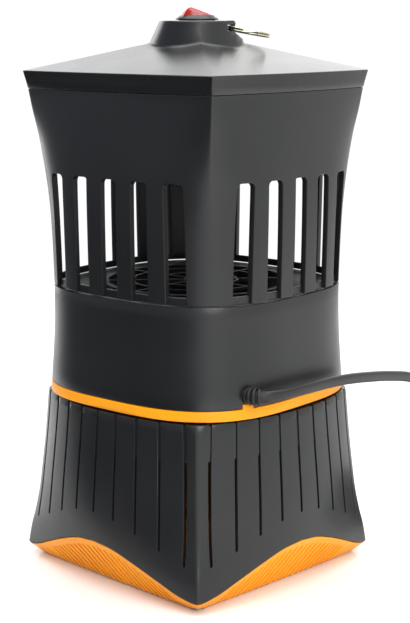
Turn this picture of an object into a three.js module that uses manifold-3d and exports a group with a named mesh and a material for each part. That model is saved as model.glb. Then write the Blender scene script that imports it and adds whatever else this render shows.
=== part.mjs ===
// Electric bug zapper with a suction fan: a four-sided waisted tower on a catch container.
// Millimetres, +Z up, floor at z = 0. The upper body's four faces look along X and Y.
import * as THREE from "three";
import { mergeVertices } from "three/addons/utils/BufferGeometryUtils.js";
import Module from "manifold-3d";

const wasm = await Module();
wasm.setup();

// ---------------------------------------------------------------- driving dimensions

const GAP = 0.3; // clearance between pieces that touch
const SEAT_TWIST = -4.6; // degrees: the container, seen from above, before the bayonet is turned home

// Levels of the tower, bottom to top.
const FOOT_LIFT = 0.5; // rubber feet stand proud of the tray
const TIP_Z = 6.3; // lower tips of the container's corners
const ARCH_Z = 26.8; // top of each arch in the container's lower edge
const CONTAINER_TOP = 98.0;
const BAND_BOTTOM = 99.1;
const BAND_TOP = 104.6;
const HOUSING_TOP = 158.6;
const CAGE_BOTTOM = 159.4;
const SILL_Z = 163.2;
const SLOT_TOP = 221.5;
const CAGE_TOP = 266.0;
const COVER_BOTTOM = 266.6;
const EAVE_Z = 275.5;
const TURRET_TOP = 302.0;

// Cross-sections: half the width over the face middles, half the diagonal over the corners, and how
// creased the corners are (0 = fully rounded, 1 = four bowed sides meeting in an edge).
const TOWER_SECTIONS = [
  { z: 99.0, side: 73.4, diag: 82.4, crease: 0 },
  { z: 113.5, side: 72.6, diag: 81.3, crease: 0 },
  { z: 127.0, side: 71.9, diag: 80.3, crease: 0 },
  { z: 141.0, side: 71.3, diag: 79.7, crease: 0 },
  { z: 158.0, side: 70.8, diag: 79.5, crease: 0 },
  { z: 175.0, side: 71.0, diag: 79.9, crease: 0 },
  { z: 188.7, side: 71.2, diag: 80.4, crease: 0 },
  { z: 202.0, side: 71.3, diag: 81.2, crease: 0.04 },
  { z: 215.5, side: 71.3, diag: 82.6, crease: 0.12 },
  { z: 228.7, side: 71.2, diag: 84.6, crease: 0.3 },
  { z: 242.0, side: 71.0, diag: 87.0, crease: 0.55 },
  { z: 255.0, side: 70.8, diag: 90.2, crease: 0.85 },
  { z: 266.0, side: 70.5, diag: 92.4, crease: 1 },
  { z: 275.5, side: 71.5, diag: 95.0, crease: 1 },
];
const CONTAINER_SECTIONS = [
  { z: 0, side: 78.5, diag: 99.0, crease: 1 },
  { z: 6.5, side: 79.2, diag: 98.0, crease: 1 },
  { z: 17.5, side: 79.8, diag: 96.0, crease: 1 },
  { z: 24.8, side: 80.0, diag: 94.0, crease: 1 },
  { z: 39.0, side: 79.7, diag: 91.0, crease: 1 },
  { z: 53.5, side: 78.8, diag: 89.1, crease: 1 },
  { z: 67.8, side: 77.6, diag: 87.4, crease: 1 },
  { z: 82.0, side: 76.4, diag: 86.0, crease: 1 },
  { z: 98.0, side: 75.2, diag: 84.6, crease: 1 },
];
const TRAY_SECTIONS = [
  { z: FOOT_LIFT, side: 65.6, diag: 90.5, crease: 0.6 },
  { z: 2.0, side: 68.2, diag: 93.2, crease: 0.85 },
  { z: 6.0, side: 72.0, diag: 94.0, crease: 0.9 },
];
const BUCKET_SECTIONS = [
  { z: 5.0, side: 71.2, diag: 82.4, crease: 0 },
  { z: 11.0, side: 74.6, diag: 83.2, crease: 0 },
  { z: 22.0, side: 76.3, diag: 83.0, crease: 0 },
  { z: 46.0, side: 74.6, diag: 81.6, crease: 0 },
];

const COVER_WALL = 2.4;
const CAGE_WALL = 3.4;
const HOUSING_WALL = 2.6;
const CONTAINER_WALL = 2.4;
const BUCKET_WALL = 2.0;
const BUCKET_FLOOR = 4.6;

const SLOT = { pitch: 20.6, width: 10.4, cornerRadius: 2.6, sillSetback: 2.0 };
const SLIT = { topPitch: 13.4, bottomPitch: 14.8, width: 1.4, aboveArch: 15.6 };

const ROOF_SLOPE = 0.296; // rise over run of each roof face
const ROOF_HALF = 67.2; // half-width at which the roof faces reach the eave level
const TURRET = { baseRadius: 25.0, topRadius: 20.6 };
const SWITCH = { holeRadius: 10.2, barrelRadius: 9.9, bezelRadius: 11.6, bottom: 284 };
const ROCKER = { pivotZ: 302.0, radius: 8.3, halfWidth: 5.9 };
const RING = { major: 11.35, minor: 1.2, innerRadial: 17.0, innerZ: 298.0, droop: 10.2 };
const POCKET = { radial: 15.2, floor: 296.4, ceiling: 300.0, bridgeHalf: 3.0, post: 19.7 };

const BAYONET = { bore: 64.2, outer: 66.6, lugRadius: 70.3, lugHalf: 3.6, mouth: 67.3 };
const FAN = { half: 46, bore: 44.2, hole: 41.25, bottom: 119.5, top: 144.5, blades: 7 };
const BELLOWS = { y: -40.0, z: 111.8, start: 67.9, straight: 2.2, bend: 7.0, length: 8.2 };

const CORD = { width: 6.0, thickness: 3.6 };
const COIL = { x: 86.0, y: 178.0, bottom: 0.9, inner: 26.4, outer: 42.0, top: 14.6 };
const PLUG = { x: 116, y: 140.5, length: 36, width: 24, height: 14, pinLength: 19, pinOffset: 8.55 };

// ---------------------------------------------------------------- colours

const material = (color, roughness, metalness = 0) =>
  new THREE.MeshStandardMaterial({ color, roughness, metalness });
const BLACK = material(0x17181a, 0.42);
const DARK = material(0x202224, 0.6);
const ORANGE = material(0xff8a14, 0.4);
const RED = material(0xe01612, 0.2);
const NICKEL = material(0xc9c4b4, 0.25, 1);
const STEEL = material(0xa8aaac, 0.35, 1);
const BOARD = material(0x1d5b34, 0.6);
const CLEAR = material(0xdfe6f2, 0.15);
const RUBBER = material(0x141414, 0.85);
const COPPER = material(0xb06a38, 0.4, 1);

// ---------------------------------------------------------------- sections and lofts

const QUARTER = Math.PI / 2;
const degrees = (a) => (a * Math.PI) / 180;
// Directions of one face's points: dense towards the corners, one exactly on each corner.
const FACE_ANGLES = [-45, -40, -31, -16, 0, 16, 31, 40].map(degrees);
const RING_ANGLES = [0, 1, 2, 3].flatMap((k) => FACE_ANGLES.map((a) => a + k * QUARTER));

function sectionAt(sections, z) {
  const last = sections.length - 1;
  if (z <= sections[0].z) return sections[0];
  if (z >= sections[last].z) return sections[last];
  const i = sections.findIndex((s) => s.z > z);
  const a = sections[i - 1];
  const b = sections[i];
  const t = (z - a.z) / (b.z - a.z);
  const mix = (key) => a[key] + (b[key] - a[key]) * t;
  return { z, side: mix("side"), diag: mix("diag"), crease: mix("crease") };
}

// Radius of a bowed-sided square whose corners are edges.
function creasedRadius(angle, side, diag) {
  const corner = diag / Math.SQRT2;
  const bow = side - corner;
  if (Math.abs(bow) < 1e-6) return side / Math.cos(angle);
  const radius = (corner * corner + bow * bow) / (2 * bow);
  const centre = side - radius;
  const along = centre * Math.cos(angle);
  return along + Math.sign(radius) * Math.sqrt(along * along - centre * centre + radius * radius);
}

// Radius of a squarish round with the same half-width and half-diagonal.
function roundedRadius(angle, side, diag) {
  const power = Math.min(60, 1 / Math.max(0.001, 0.5 - Math.log2(diag / side)));
  const sum = Math.abs(Math.cos(angle)) ** power + Math.abs(Math.sin(angle)) ** power;
  return side / sum ** (1 / power);
}

// One closed ring of points at height z; inset moves it inwards, more at a creased corner.
function sectionRing(section, z, inset = 0) {
  const side = section.side - inset;
  const diag = section.diag - inset * (1 + 0.41 * section.crease);
  return RING_ANGLES.map((angle) => {
    const local = angle - Math.round(angle / QUARTER) * QUARTER;
    const sharp = creasedRadius(local, side, diag);
    const round = roundedRadius(local, side, diag);
    const r = section.crease * sharp + (1 - section.crease) * round;
    return new THREE.Vector3(r * Math.cos(angle), r * Math.sin(angle), z);
  });
}

const towerRing = (z, inset = 0) => sectionRing(sectionAt(TOWER_SECTIONS, z), z, inset);
const containerRing = (z, inset = 0) => sectionRing(sectionAt(CONTAINER_SECTIONS, z), z, inset);
const circleRing = (radius, z) =>
  RING_ANGLES.map((a) => new THREE.Vector3(radius * Math.cos(a), radius * Math.sin(a), z));

const roofHeight = (x, y) => EAVE_Z + ROOF_SLOPE * (ROOF_HALF - Math.max(Math.abs(x), Math.abs(y)));
const roofRing = (radius, drop = 0) =>
  circleRing(radius, 0).map((p) => p.setZ(roofHeight(p.x, p.y) - drop));

// Skins rings of equal length, counter-clockwise seen from above. Closed: the last ring joins the
// first, which makes a tube-walled shell; open: both ends are capped.
function loft(rings, closed = false) {
  const n = rings[0].length;
  const positions = rings.flat().flatMap((p) => [p.x, p.y, p.z]);
  const index = [];
  const steps = closed ? rings.length : rings.length - 1;
  for (let i = 0; i < steps; i += 1) {
    const a = i * n;
    const b = ((i + 1) % rings.length) * n;
    for (let k = 0; k < n; k += 1) {
      const next = (k + 1) % n;
      index.push(a + k, a + next, b + next, a + k, b + next, b + k);
    }
  }
  if (!closed) {
    const cap = (start, flip) => {
      const ring = rings[start / n];
      const centre = ring.reduce((sum, p) => sum.add(p), new THREE.Vector3()).divideScalar(n);
      const c = positions.length / 3;
      positions.push(centre.x, centre.y, centre.z);
      for (let k = 0; k < n; k += 1) {
        const next = (k + 1) % n;
        if (flip) index.push(c, start + next, start + k);
        else index.push(c, start + k, start + next);
      }
    };
    cap(0, true);
    cap((rings.length - 1) * n, false);
  }
  const geometry = new THREE.BufferGeometry();
  geometry.setAttribute("position", new THREE.Float32BufferAttribute(positions, 3));
  geometry.setIndex(index);
  return geometry;
}

// ---------------------------------------------------------------- booleans

function solid(geometry) {
  const g = geometry.clone();
  g.deleteAttribute("normal");
  g.deleteAttribute("uv");
  const merged = mergeVertices(g, 1e-4);
  const vertProperties = new Float32Array(merged.attributes.position.array);
  const triVerts = new Uint32Array(merged.index.array);
  return new wasm.Manifold(new wasm.Mesh({ numProp: 3, vertProperties, triVerts }));
}

function fromSolid(body) {
  const { vertProperties, triVerts } = body.getMesh();
  const geometry = new THREE.BufferGeometry();
  geometry.setAttribute("position", new THREE.BufferAttribute(vertProperties, 3));
  geometry.setIndex(new THREE.BufferAttribute(triVerts, 1));
  return geometry;
}

const joined = (geometries) => geometries.map(solid).reduce((sum, s) => sum.add(s));
const cut = (geometry, tools) =>
  fromSolid(tools.reduce((body, tool) => body.subtract(solid(tool)), solid(geometry)));
const join = (geometries) => fromSolid(joined(geometries));
const common = (a, b) => fromSolid(solid(a).intersect(solid(b)));

// ---------------------------------------------------------------- basic shapes

function boxBetween(x0, x1, y0, y1, z0, z1) {
  const box = new THREE.BoxGeometry(x1 - x0, y1 - y0, z1 - z0);
  return box.translate((x0 + x1) / 2, (y0 + y1) / 2, (z0 + z1) / 2);
}

// A vertical round body from z0 to z1.
function post(radius, z0, z1, x = 0, y = 0, segments = 20) {
  const cylinder = new THREE.CylinderGeometry(radius, radius, z1 - z0, segments);
  return cylinder.rotateX(QUARTER).translate(x, y, (z0 + z1) / 2);
}

// A body of revolution about the Z axis from [radius, z] points.
const turned = (points, segments = 32) =>
  new THREE.LatheGeometry(points.map(([r, z]) => new THREE.Vector2(r, z)), segments).rotateX(QUARTER);

// A turned body whose profile is a closed loop, clear of the axis, given in either direction.
function turnedRing(points, segments = 32) {
  const area = points.reduce((sum, [r, z], i) => {
    const [nextR, nextZ] = points[(i + 1) % points.length];
    return sum + r * nextZ - nextR * z;
  }, 0);
  const loop = area > 0 ? points : [...points].reverse();
  return turned([...loop, loop[0]], segments);
}

const aboutZ = (geometry, angle) => geometry.clone().rotateZ(angle);
const onFourFaces = (geometry) => [0, 1, 2, 3].map((k) => aboutZ(geometry, k * QUARTER));

// A flat outline in the X–Z plane, extruded along Y from y0 to y1.
function slab(shape, y0, y1) {
  const depth = y1 - y0;
  const geometry = new THREE.ExtrudeGeometry(shape, { depth, bevelEnabled: false, curveSegments: 2 });
  return geometry.rotateX(QUARTER).translate(0, y1, 0);
}

// A flat outline in the X–Y plane, extruded upwards from z0 to z1.
function plate(shape, z0, z1, curveSegments = 6) {
  const options = { depth: z1 - z0, bevelEnabled: false, curveSegments };
  return new THREE.ExtrudeGeometry(shape, options).translate(0, 0, z0);
}

const polygon = (points) => new THREE.Shape(points.map(([x, y]) => new THREE.Vector2(x, y)));

// ---------------------------------------------------------------- nodes

const zapper = new THREE.Group();
const container = new THREE.Group();
container.rotation.z = degrees(SEAT_TWIST);
zapper.add(container);

function node(name, geometry, look, parent = zapper) {
  const mesh = new THREE.Mesh(geometry, look);
  mesh.name = name;
  parent.add(mesh);
  return mesh;
}

// ---------------------------------------------------------------- top cover and switch

const DIAGONAL = QUARTER / 2; // the ring's pocket lies on this corner's diagonal

function topCoverOutside() {
  return loft([
    towerRing(COVER_BOTTOM),
    towerRing(EAVE_Z - 0.5),
    towerRing(EAVE_Z, 0.6).map((p) => p.setZ(EAVE_Z + 0.1)),
    roofRing(TURRET.baseRadius + 0.9),
    roofRing(TURRET.baseRadius - 0.1, -0.9),
    circleRing(TURRET.topRadius, TURRET_TOP - 0.6),
    circleRing(TURRET.topRadius - 0.6, TURRET_TOP),
  ]);
}

function topCoverCavity() {
  const cavity = loft([
    towerRing(COVER_BOTTOM - 1, COVER_WALL),
    towerRing(EAVE_Z - COVER_WALL, COVER_WALL),
    roofRing(TURRET.baseRadius - 2, COVER_WALL + 0.4),
    circleRing(TURRET.topRadius - 2.4, TURRET_TOP - 2.4),
  ]);
  const pocketBlock = aboutZ(boxBetween(12.6, 28, -24, 24, 285, 303), DIAGONAL);
  return cut(cavity, [pocketBlock]);
}

// The side pocket that the hanging ring reaches into, round a bridge above and a post.
function ringPocket() {
  const { radial, floor, ceiling, bridgeHalf, post: postAt } = POCKET;
  const profile = polygon([
    [radial, floor],
    [18.4, floor],
    [27, 290.6],
    [27, 304],
    [radial, 304],
  ]);
  const bridge = boxBetween(radial - 1, 28, -bridgeHalf, bridgeHalf, ceiling, 305);
  const bar = post(1.15, 289, 303, postAt, 0, 12);
  return aboutZ(cut(slab(profile, -25, 25), [bridge, bar]), DIAGONAL);
}

const COVER_BOSS = 44; // half-spacing of the four screw bosses

function topCover() {
  const corners = [
    [COVER_BOSS, COVER_BOSS],
    [-COVER_BOSS, COVER_BOSS],
    [-COVER_BOSS, -COVER_BOSS],
    [COVER_BOSS, -COVER_BOSS],
  ];
  const bosses = corners.map(([x, y]) => post(4, 259.7, 281.5, x, y, 10));
  const holes = corners.map(([x, y]) => post(1.5, 258, 274, x, y, 8));
  const shell = cut(topCoverOutside(), [
    topCoverCavity(),
    ringPocket(),
    post(SWITCH.holeRadius, 280, 304, 0, 0, 32),
  ]);
  return cut(join([shell, ...bosses]), holes);
}

function switchBody() {
  const bezel = turned(
    [
      [0, SWITCH.bottom],
      [SWITCH.barrelRadius, SWITCH.bottom],
      [SWITCH.barrelRadius, TURRET_TOP + GAP],
      [SWITCH.bezelRadius, TURRET_TOP + GAP],
      [SWITCH.bezelRadius, TURRET_TOP + 1.1],
      [SWITCH.bezelRadius - 2.9, TURRET_TOP + 3.0],
      [0, TURRET_TOP + 3.0],
    ],
    32,
  );
  const well = boxBetween(-8.7, 8.7, -6.2, 6.2, TURRET_TOP - 1, 310);
  const pit = boxBetween(-7.3, 7.3, -6.2, 6.2, 293.5, TURRET_TOP);
  const heel = boxBetween(-8.7, -7, -6.2, 6.2, 298.4, TURRET_TOP); // room for the side that is pressed
  return aboutZ(cut(bezel, [well, pit, heel]), DIAGONAL);
}

// Side profile of the rocker about its pivot: high at its outer left, falling to the right.
function switchRocker() {
  const { pivotZ, radius, halfWidth } = ROCKER;
  const at = (deg) => [radius * Math.cos(degrees(deg)), radius * Math.sin(degrees(deg))];
  const outline = [at(20), [1.2, 5.2], at(118), at(128), at(138), at(150), at(162), at(176)];
  outline.push([-6.6, -1.4], [-3, -6], [3, -6], [6.6, -1.4], at(8));
  return aboutZ(slab(polygon(outline), -halfWidth, halfWidth).translate(0, 0, pivotZ), DIAGONAL);
}

function hangingRing() {
  const { major, minor, innerRadial, innerZ, droop } = RING;
  return new THREE.TorusGeometry(major, minor, 6, 24)
    .translate(major, 0, 0)
    .rotateY(degrees(droop))
    .translate(innerRadial, 0, innerZ)
    .rotateZ(DIAGONAL);
}

node("top_cover", topCover(), BLACK);
node("hanging_ring", hangingRing(), NICKEL);
node("switch_body", switchBody(), BLACK);
node("switch_rocker", switchRocker(), RED);
[-1, 1].forEach((side, i) => {
  const blade = boxBetween(side * 5 - 0.4, side * 5 + 0.4, -2.4, 2.4, 275.5, SWITCH.bottom - GAP);
  node("switch_terminal_" + (i + 1), aboutZ(blade, DIAGONAL), COPPER);
});

// ---------------------------------------------------------------- lamp unit under the cover

const LAMP_PLATE = { bottom: 256.6, top: 259.2, inset: 4.6 };

function lampPlate() {
  const { bottom, top, inset } = LAMP_PLATE;
  const body = loft([towerRing(bottom, inset), towerRing(top, inset)]);
  const holes = onFourFaces(post(1.7, 250, 262, COVER_BOSS, COVER_BOSS, 8));
  return cut(body, [...holes, post(6, 250, 262, 0, 0, 16)]);
}

function coverScrew() {
  const head = LAMP_PLATE.bottom - GAP;
  return turned(
    [
      [0, head - 2],
      [2, head - 2],
      [3, head - 1.2],
      [3, head],
      [1.2, head],
      [1.2, 270],
      [0, 271],
    ],
    8,
  );
}

function lampCover() {
  const rim = LAMP_PLATE.bottom - GAP;
  return turnedRing(
    [
      [38, rim],
      [38, rim - 4.2],
      [34, rim - 8.6],
      [22, rim - 11.6],
      [6, rim - 12.6],
      [6, rim - 11.1],
      [21.6, rim - 10.1],
      [33, rim - 7.3],
      [36.4, rim - 3.6],
      [36.4, rim],
    ],
    20,
  );
}

node("lamp_plate", lampPlate(), DARK);
node("lamp_board", post(33, LAMP_PLATE.bottom - 1.9, LAMP_PLATE.bottom - GAP, 0, 0, 32), BOARD);
node("lamp_cover", lampCover(), CLEAR);
for (let i = 0; i < 6; i += 1) {
  const top = LAMP_PLATE.bottom - 2.2;
  const led = boxBetween(20.5, 25.5, -2.5, 2.5, top - 1.4, top);
  node("uv_led_" + (i + 1), aboutZ(led, (i * Math.PI) / 3), CLEAR);
}
node("driver_board", boxBetween(-30, 30, -18, 18, 262.4, 264), BOARD);
node("driver_capacitor", post(5, 264.3, 275, -17, 6, 16), DARK);
[0, 1, 2, 3].forEach((k) => {
  const screw = coverScrew().translate(COVER_BOSS, COVER_BOSS, 0);
  node("cover_screw_" + (k + 1), aboutZ(screw, k * QUARTER), STEEL);
});

// ---------------------------------------------------------------- cage

const CAGE_LEVELS = [CAGE_BOTTOM, SLOT_TOP + 1, 245, CAGE_TOP];
const slotCentres = [-2, -1, 0, 1, 2].map((k) => k * SLOT.pitch);

function slotOutline(x) {
  const half = SLOT.width / 2;
  const r = SLOT.cornerRadius;
  const shape = new THREE.Shape();
  shape.moveTo(x - half, SILL_Z);
  shape.lineTo(x + half, SILL_Z);
  shape.lineTo(x + half, SLOT_TOP - r);
  shape.absarc(x + half - r, SLOT_TOP - r, r, 0, QUARTER);
  shape.absarc(x - half + r, SLOT_TOP - r, r, QUARTER, Math.PI);
  shape.closePath();
  return shape;
}

// Below the slots the wall stands back, so that the bars end in feet.
function sillTools() {
  const levels = [CAGE_BOTTOM - 2, SILL_Z + 1];
  const clear = loft(levels.map((z) => towerRing(z, SLOT.sillSetback)));
  const half = SLOT.width / 2;
  const top = SILL_Z + 0.01;
  const blocks = slotCentres.map((x) => boxBetween(x - half, x + half, -90, -40, CAGE_BOTTOM - 1, top));
  return blocks.map((block) => cut(block, [clear]));
}

function cage() {
  const outer = CAGE_LEVELS.map((z) => towerRing(z));
  const inner = CAGE_LEVELS.map((z) => towerRing(z, CAGE_WALL)).reverse();
  const slots = slotCentres.map((x) => slab(slotOutline(x), -100, -40));
  return cut(loft([...outer, ...inner], true), [...slots, ...sillTools()].flatMap(onFourFaces));
}

node("cage", cage(), BLACK);

// ---------------------------------------------------------------- fan housing

const HOUSING_LEVELS = [BAND_TOP + GAP, 132, HOUSING_TOP];
const TAB_HALF = 3.0;
const TAB_TOP = 107.2;

function fanHousing() {
  const outer = HOUSING_LEVELS.map((z) => towerRing(z));
  const inner = HOUSING_LEVELS.map((z) => towerRing(z, HOUSING_WALL)).reverse();
  const cordHole = new THREE.CylinderGeometry(4.7, 4.7, 20, 12)
    .rotateZ(QUARTER)
    .translate(BELLOWS.start, BELLOWS.y, BELLOWS.z);
  const side = TAB_HALF + GAP;
  const tabNotch = boxBetween(40, 90, BELLOWS.y - side, BELLOWS.y + side, 90, TAB_TOP + GAP);
  return cut(loft([...outer, ...inner], true), [cordHole, tabNotch]);
}

function inletDeck() {
  const inset = HOUSING_WALL + GAP;
  const top = 158.2;
  const deck = loft([towerRing(top - 2.4, inset), towerRing(top, inset)]);
  const funnel = turnedRing(
    [
      [46.4, 147],
      [54.5, top],
      [51.5, top],
      [44.6, 147],
    ],
    24,
  );
  const bosses = onFourFaces(post(4.2, 144.8, top - 1, FAN.hole, FAN.hole, 10));
  const holes = onFourFaces(post(2.2, 140, 154, FAN.hole, FAN.hole, 8));
  const open = cut(deck, [post(52.5, 140, 170, 0, 0, 24)]);
  return cut(join([open, funnel, ...bosses]), holes);
}

function inletGuard() {
  const bottom = 158.5;
  const top = 160.2;
  const hoop = (radius, width, n) =>
    turnedRing(
      [
        [radius, bottom],
        [radius + width, bottom],
        [radius + width, top],
        [radius, top],
      ],
      n,
    );
  const spoke = boxBetween(-52, 52, -0.8, 0.8, bottom, top);
  const spokes = [0, 1, 2, 3].map((k) => aboutZ(spoke, k * DIAGONAL));
  const hoops = [hoop(50, 3.6, 20), hoop(36, 1.6, 16), hoop(22, 1.6, 12)];
  return join([...hoops, post(8, bottom, top, 0, 0, 10), ...spokes]);
}

function fanFrame() {
  const { half, bore, bottom, top, hole } = FAN;
  const r = 5;
  const shape = new THREE.Shape();
  shape.moveTo(half, -half + r);
  shape.absarc(half - r, half - r, r, 0, QUARTER);
  shape.absarc(-half + r, half - r, r, QUARTER, Math.PI);
  shape.absarc(-half + r, -half + r, r, Math.PI, 3 * QUARTER);
  shape.absarc(half - r, -half + r, r, 3 * QUARTER, 4 * QUARTER);
  const block = plate(shape, bottom, top, 3);
  const screws = onFourFaces(post(2.25, bottom - 1, top + 1, hole, hole, 8));
  const frame = cut(block, [post(bore, bottom - 1, top + 1, 0, 0, 28), ...screws]);
  const arm = boxBetween(10, bore + 0.8, -1.4, 1.4, bottom, bottom + 2.6);
  const arms = onFourFaces(aboutZ(arm, degrees(20)));
  return cut(join([frame, ...arms, post(17, bottom, bottom + 2.6, 0, 0, 16)]), [post(2.2, 110, 130)]);
}

function fanMotor() {
  return turnedRing(
    [
      [2.0, FAN.bottom + 2.9],
      [12, FAN.bottom + 2.9],
      [13.4, FAN.bottom + 5],
      [13.4, FAN.bottom + 14],
      [11, FAN.bottom + 16],
      [2.0, FAN.bottom + 16],
    ],
    20,
  );
}

// One blade: a cambered, pitched plate from the hub to just inside the bore.
function fanBlade() {
  const steps = 3;
  const rings = [];
  for (let i = 0; i <= steps; i += 1) {
    const t = i / steps;
    const radius = 17 + t * 25.4;
    const pitch = degrees(52 - 20 * t);
    const chord = 15 + 9 * t;
    const sweep = degrees(22 * t);
    const section = [-0.5, 0, 0.5].map((u) => [u * chord, 1.6 * (0.25 - u * u) * 4]);
    const under = section.map(([u, h]) => [u, h - 0.7]);
    const over = section.map(([u, h]) => [u, h + 0.7]).reverse();
    const loop = [...under, ...over];
    rings.push(
      loop.map(([u, h]) => {
        const across = u * Math.cos(pitch) - h * Math.sin(pitch);
        const up = u * Math.sin(pitch) + h * Math.cos(pitch);
        const angle = sweep + across / Math.max(radius, 20);
        return new THREE.Vector3(radius * Math.cos(angle), radius * Math.sin(angle), 133.6 + up);
      }),
    );
  }
  return loft(rings);
}

function fanRotor() {
  const hub = turnedRing(
    [
      [15, 124.6],
      [17.6, 124.6],
      [17.6, 141.5],
      [16, 143],
      [1.9, 143],
      [1.9, 138],
      [3.6, 138],
      [3.6, 141],
      [15, 141],
    ],
    20,
  );
  const turns = Array.from({ length: FAN.blades }, (_, i) => (i * 2 * Math.PI) / FAN.blades);
  const blades = turns.map((turn) => aboutZ(fanBlade(), turn));
  return join([hub, ...blades]);
}

function fanScrew() {
  const head = FAN.bottom - GAP;
  return turned(
    [
      [0, head - 2.2],
      [2.6, head - 2.2],
      [3.4, head - 1.2],
      [3.4, head],
      [1.9, head],
      [1.9, 151],
      [0, 152],
    ],
    8,
  );
}

node("fan_housing", fanHousing(), BLACK);
node("inlet_deck", inletDeck(), DARK);
node("inlet_guard", inletGuard(), DARK);
node("fan_frame", fanFrame(), DARK);
node("fan_motor", fanMotor(), COPPER);
node("fan_rotor", fanRotor(), DARK);
node("fan_shaft", post(1.6, FAN.bottom + 3.2, 142.6, 0, 0, 12), STEEL);
[0, 1, 2, 3].forEach((k) => {
  node("fan_screw_" + (k + 1), aboutZ(fanScrew().translate(FAN.hole, FAN.hole, 0), k * QUARTER), STEEL);
});

// ---------------------------------------------------------------- band, bayonet and cord boot

function trimBand() {
  const band = loft(
    [
      towerRing(BAND_BOTTOM),
      towerRing(BAND_TOP),
      towerRing(BAND_TOP, 2.6),
      towerRing(101.4, 2.6),
      circleRing(67.2, 101.4),
      circleRing(67.2, BAND_BOTTOM),
    ],
    true,
  );
  const skin = loft(
    [
      towerRing(BAND_TOP - 0.5),
      towerRing(TAB_TOP),
      towerRing(TAB_TOP, 2.4),
      towerRing(BAND_TOP - 0.5, 2.4),
    ],
    true,
  );
  const slice = boxBetween(40, 90, BELLOWS.y - TAB_HALF, BELLOWS.y + TAB_HALF, 95, 120);
  return join([band, common(skin, slice)]);
}

function bayonetCollar() {
  const { bore, outer, lugRadius, lugHalf } = BAYONET;
  const tube = turnedRing(
    [
      [bore, 80],
      [outer, 80],
      [outer, 101.7],
      [lugRadius, 101.7],
      [lugRadius, 103.6],
      [bore, 103.6],
    ],
    32,
  );
  const lug = aboutZ(boxBetween(outer - 1, lugRadius, -lugHalf, lugHalf, 90, 93.4), DIAGONAL);
  return join([tube, ...onFourFaces(lug)]);
}

function sealRing() {
  return turnedRing(
    [
      [67.6, 98.3],
      [72.2, 98.3],
      [72.2, 98.8],
      [67.6, 98.8],
    ],
    32,
  );
}

// The ribbed boot leaves the housing square and bends along its face.
function strainRelief() {
  const { y, z, start, straight, bend, length } = BELLOWS;
  const at = (s) => {
    const a = (s - straight) / bend;
    if (a <= 0) return { x: start + s, y, turn: 0 };
    const x = start + straight + bend * Math.sin(a);
    return { x, y: y + bend * (1 - Math.cos(a)), turn: a };
  };
  const disc = (s, radius, thickness) => {
    const p = at(s);
    return new THREE.CylinderGeometry(radius, radius, thickness, 12)
      .rotateZ(QUARTER)
      .rotateZ(p.turn)
      .translate(p.x, p.y, z);
  };
  const ribs = [4.5, 4.7, 4.8, 4.6].map((radius, i) => disc(1.2 + i * 1.9, radius, 1.2));
  const necks = [0, 1, 2, 3, 4].map((i) => disc((i * (length - 1)) / 4 + 0.1, 3.9 - 0.15 * i, 2.4));
  const shank = new THREE.CylinderGeometry(3.9, 3.9, 12, 12).rotateZ(QUARTER).translate(start - 5.7, y, z);
  const nut = new THREE.CylinderGeometry(6, 6, 3, 6).rotateZ(QUARTER).translate(start - 10.2, y, z);
  return join([shank, nut, ...ribs, ...necks]);
}

node("trim_band", trimBand(), ORANGE);
node("bayonet_collar", bayonetCollar(), DARK);
node("seal_ring", sealRing(), RUBBER);
node("strain_relief", strainRelief(), RUBBER);

// ---------------------------------------------------------------- catch container

// Lower edge of one container face, as points from the left corner to the right one.
function archCurve() {
  const half = [
    [0, ARCH_Z],
    [14, 25.2],
    [29, 20.4],
    [44, 14.4],
    [57, 9.0],
    [68, TIP_Z],
  ];
  const left = half.slice(1).reverse().map(([x, z]) => [-x, z]);
  const points = [...left, ...half].map(([x, z]) => new THREE.Vector2(x, z));
  return new THREE.SplineCurve(points);
}

function archTool() {
  const curve = archCurve().getPoints(24);
  const arch = curve.map((p) => [p.x, p.y]).reverse();
  return slab(polygon([[-120, -5], [120, -5], [120, TIP_Z], ...arch, [-120, TIP_Z]]), -100, -62);
}

const archHeight = (x) => {
  const points = archCurve().getPoints(60);
  return points.reduce((best, p) => (Math.abs(p.x - x) < Math.abs(best.x - x) ? p : best)).y;
};

function slitTool(k) {
  const half = SLIT.width / 2;
  const bottomX = k * SLIT.bottomPitch;
  const topX = k * SLIT.topPitch;
  const bottomZ = archHeight(bottomX) + SLIT.aboveArch;
  const topZ = CONTAINER_TOP + 1;
  const outline = [
    [bottomX - half, bottomZ],
    [bottomX + half, bottomZ],
    [topX + half, topZ],
    [topX - half, topZ],
  ];
  return slab(polygon(outline), -100, -55);
}

const CONTAINER_LEVELS = [34];
const LIP = { bottom: 94, notchHalf: 4.3 };

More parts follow.
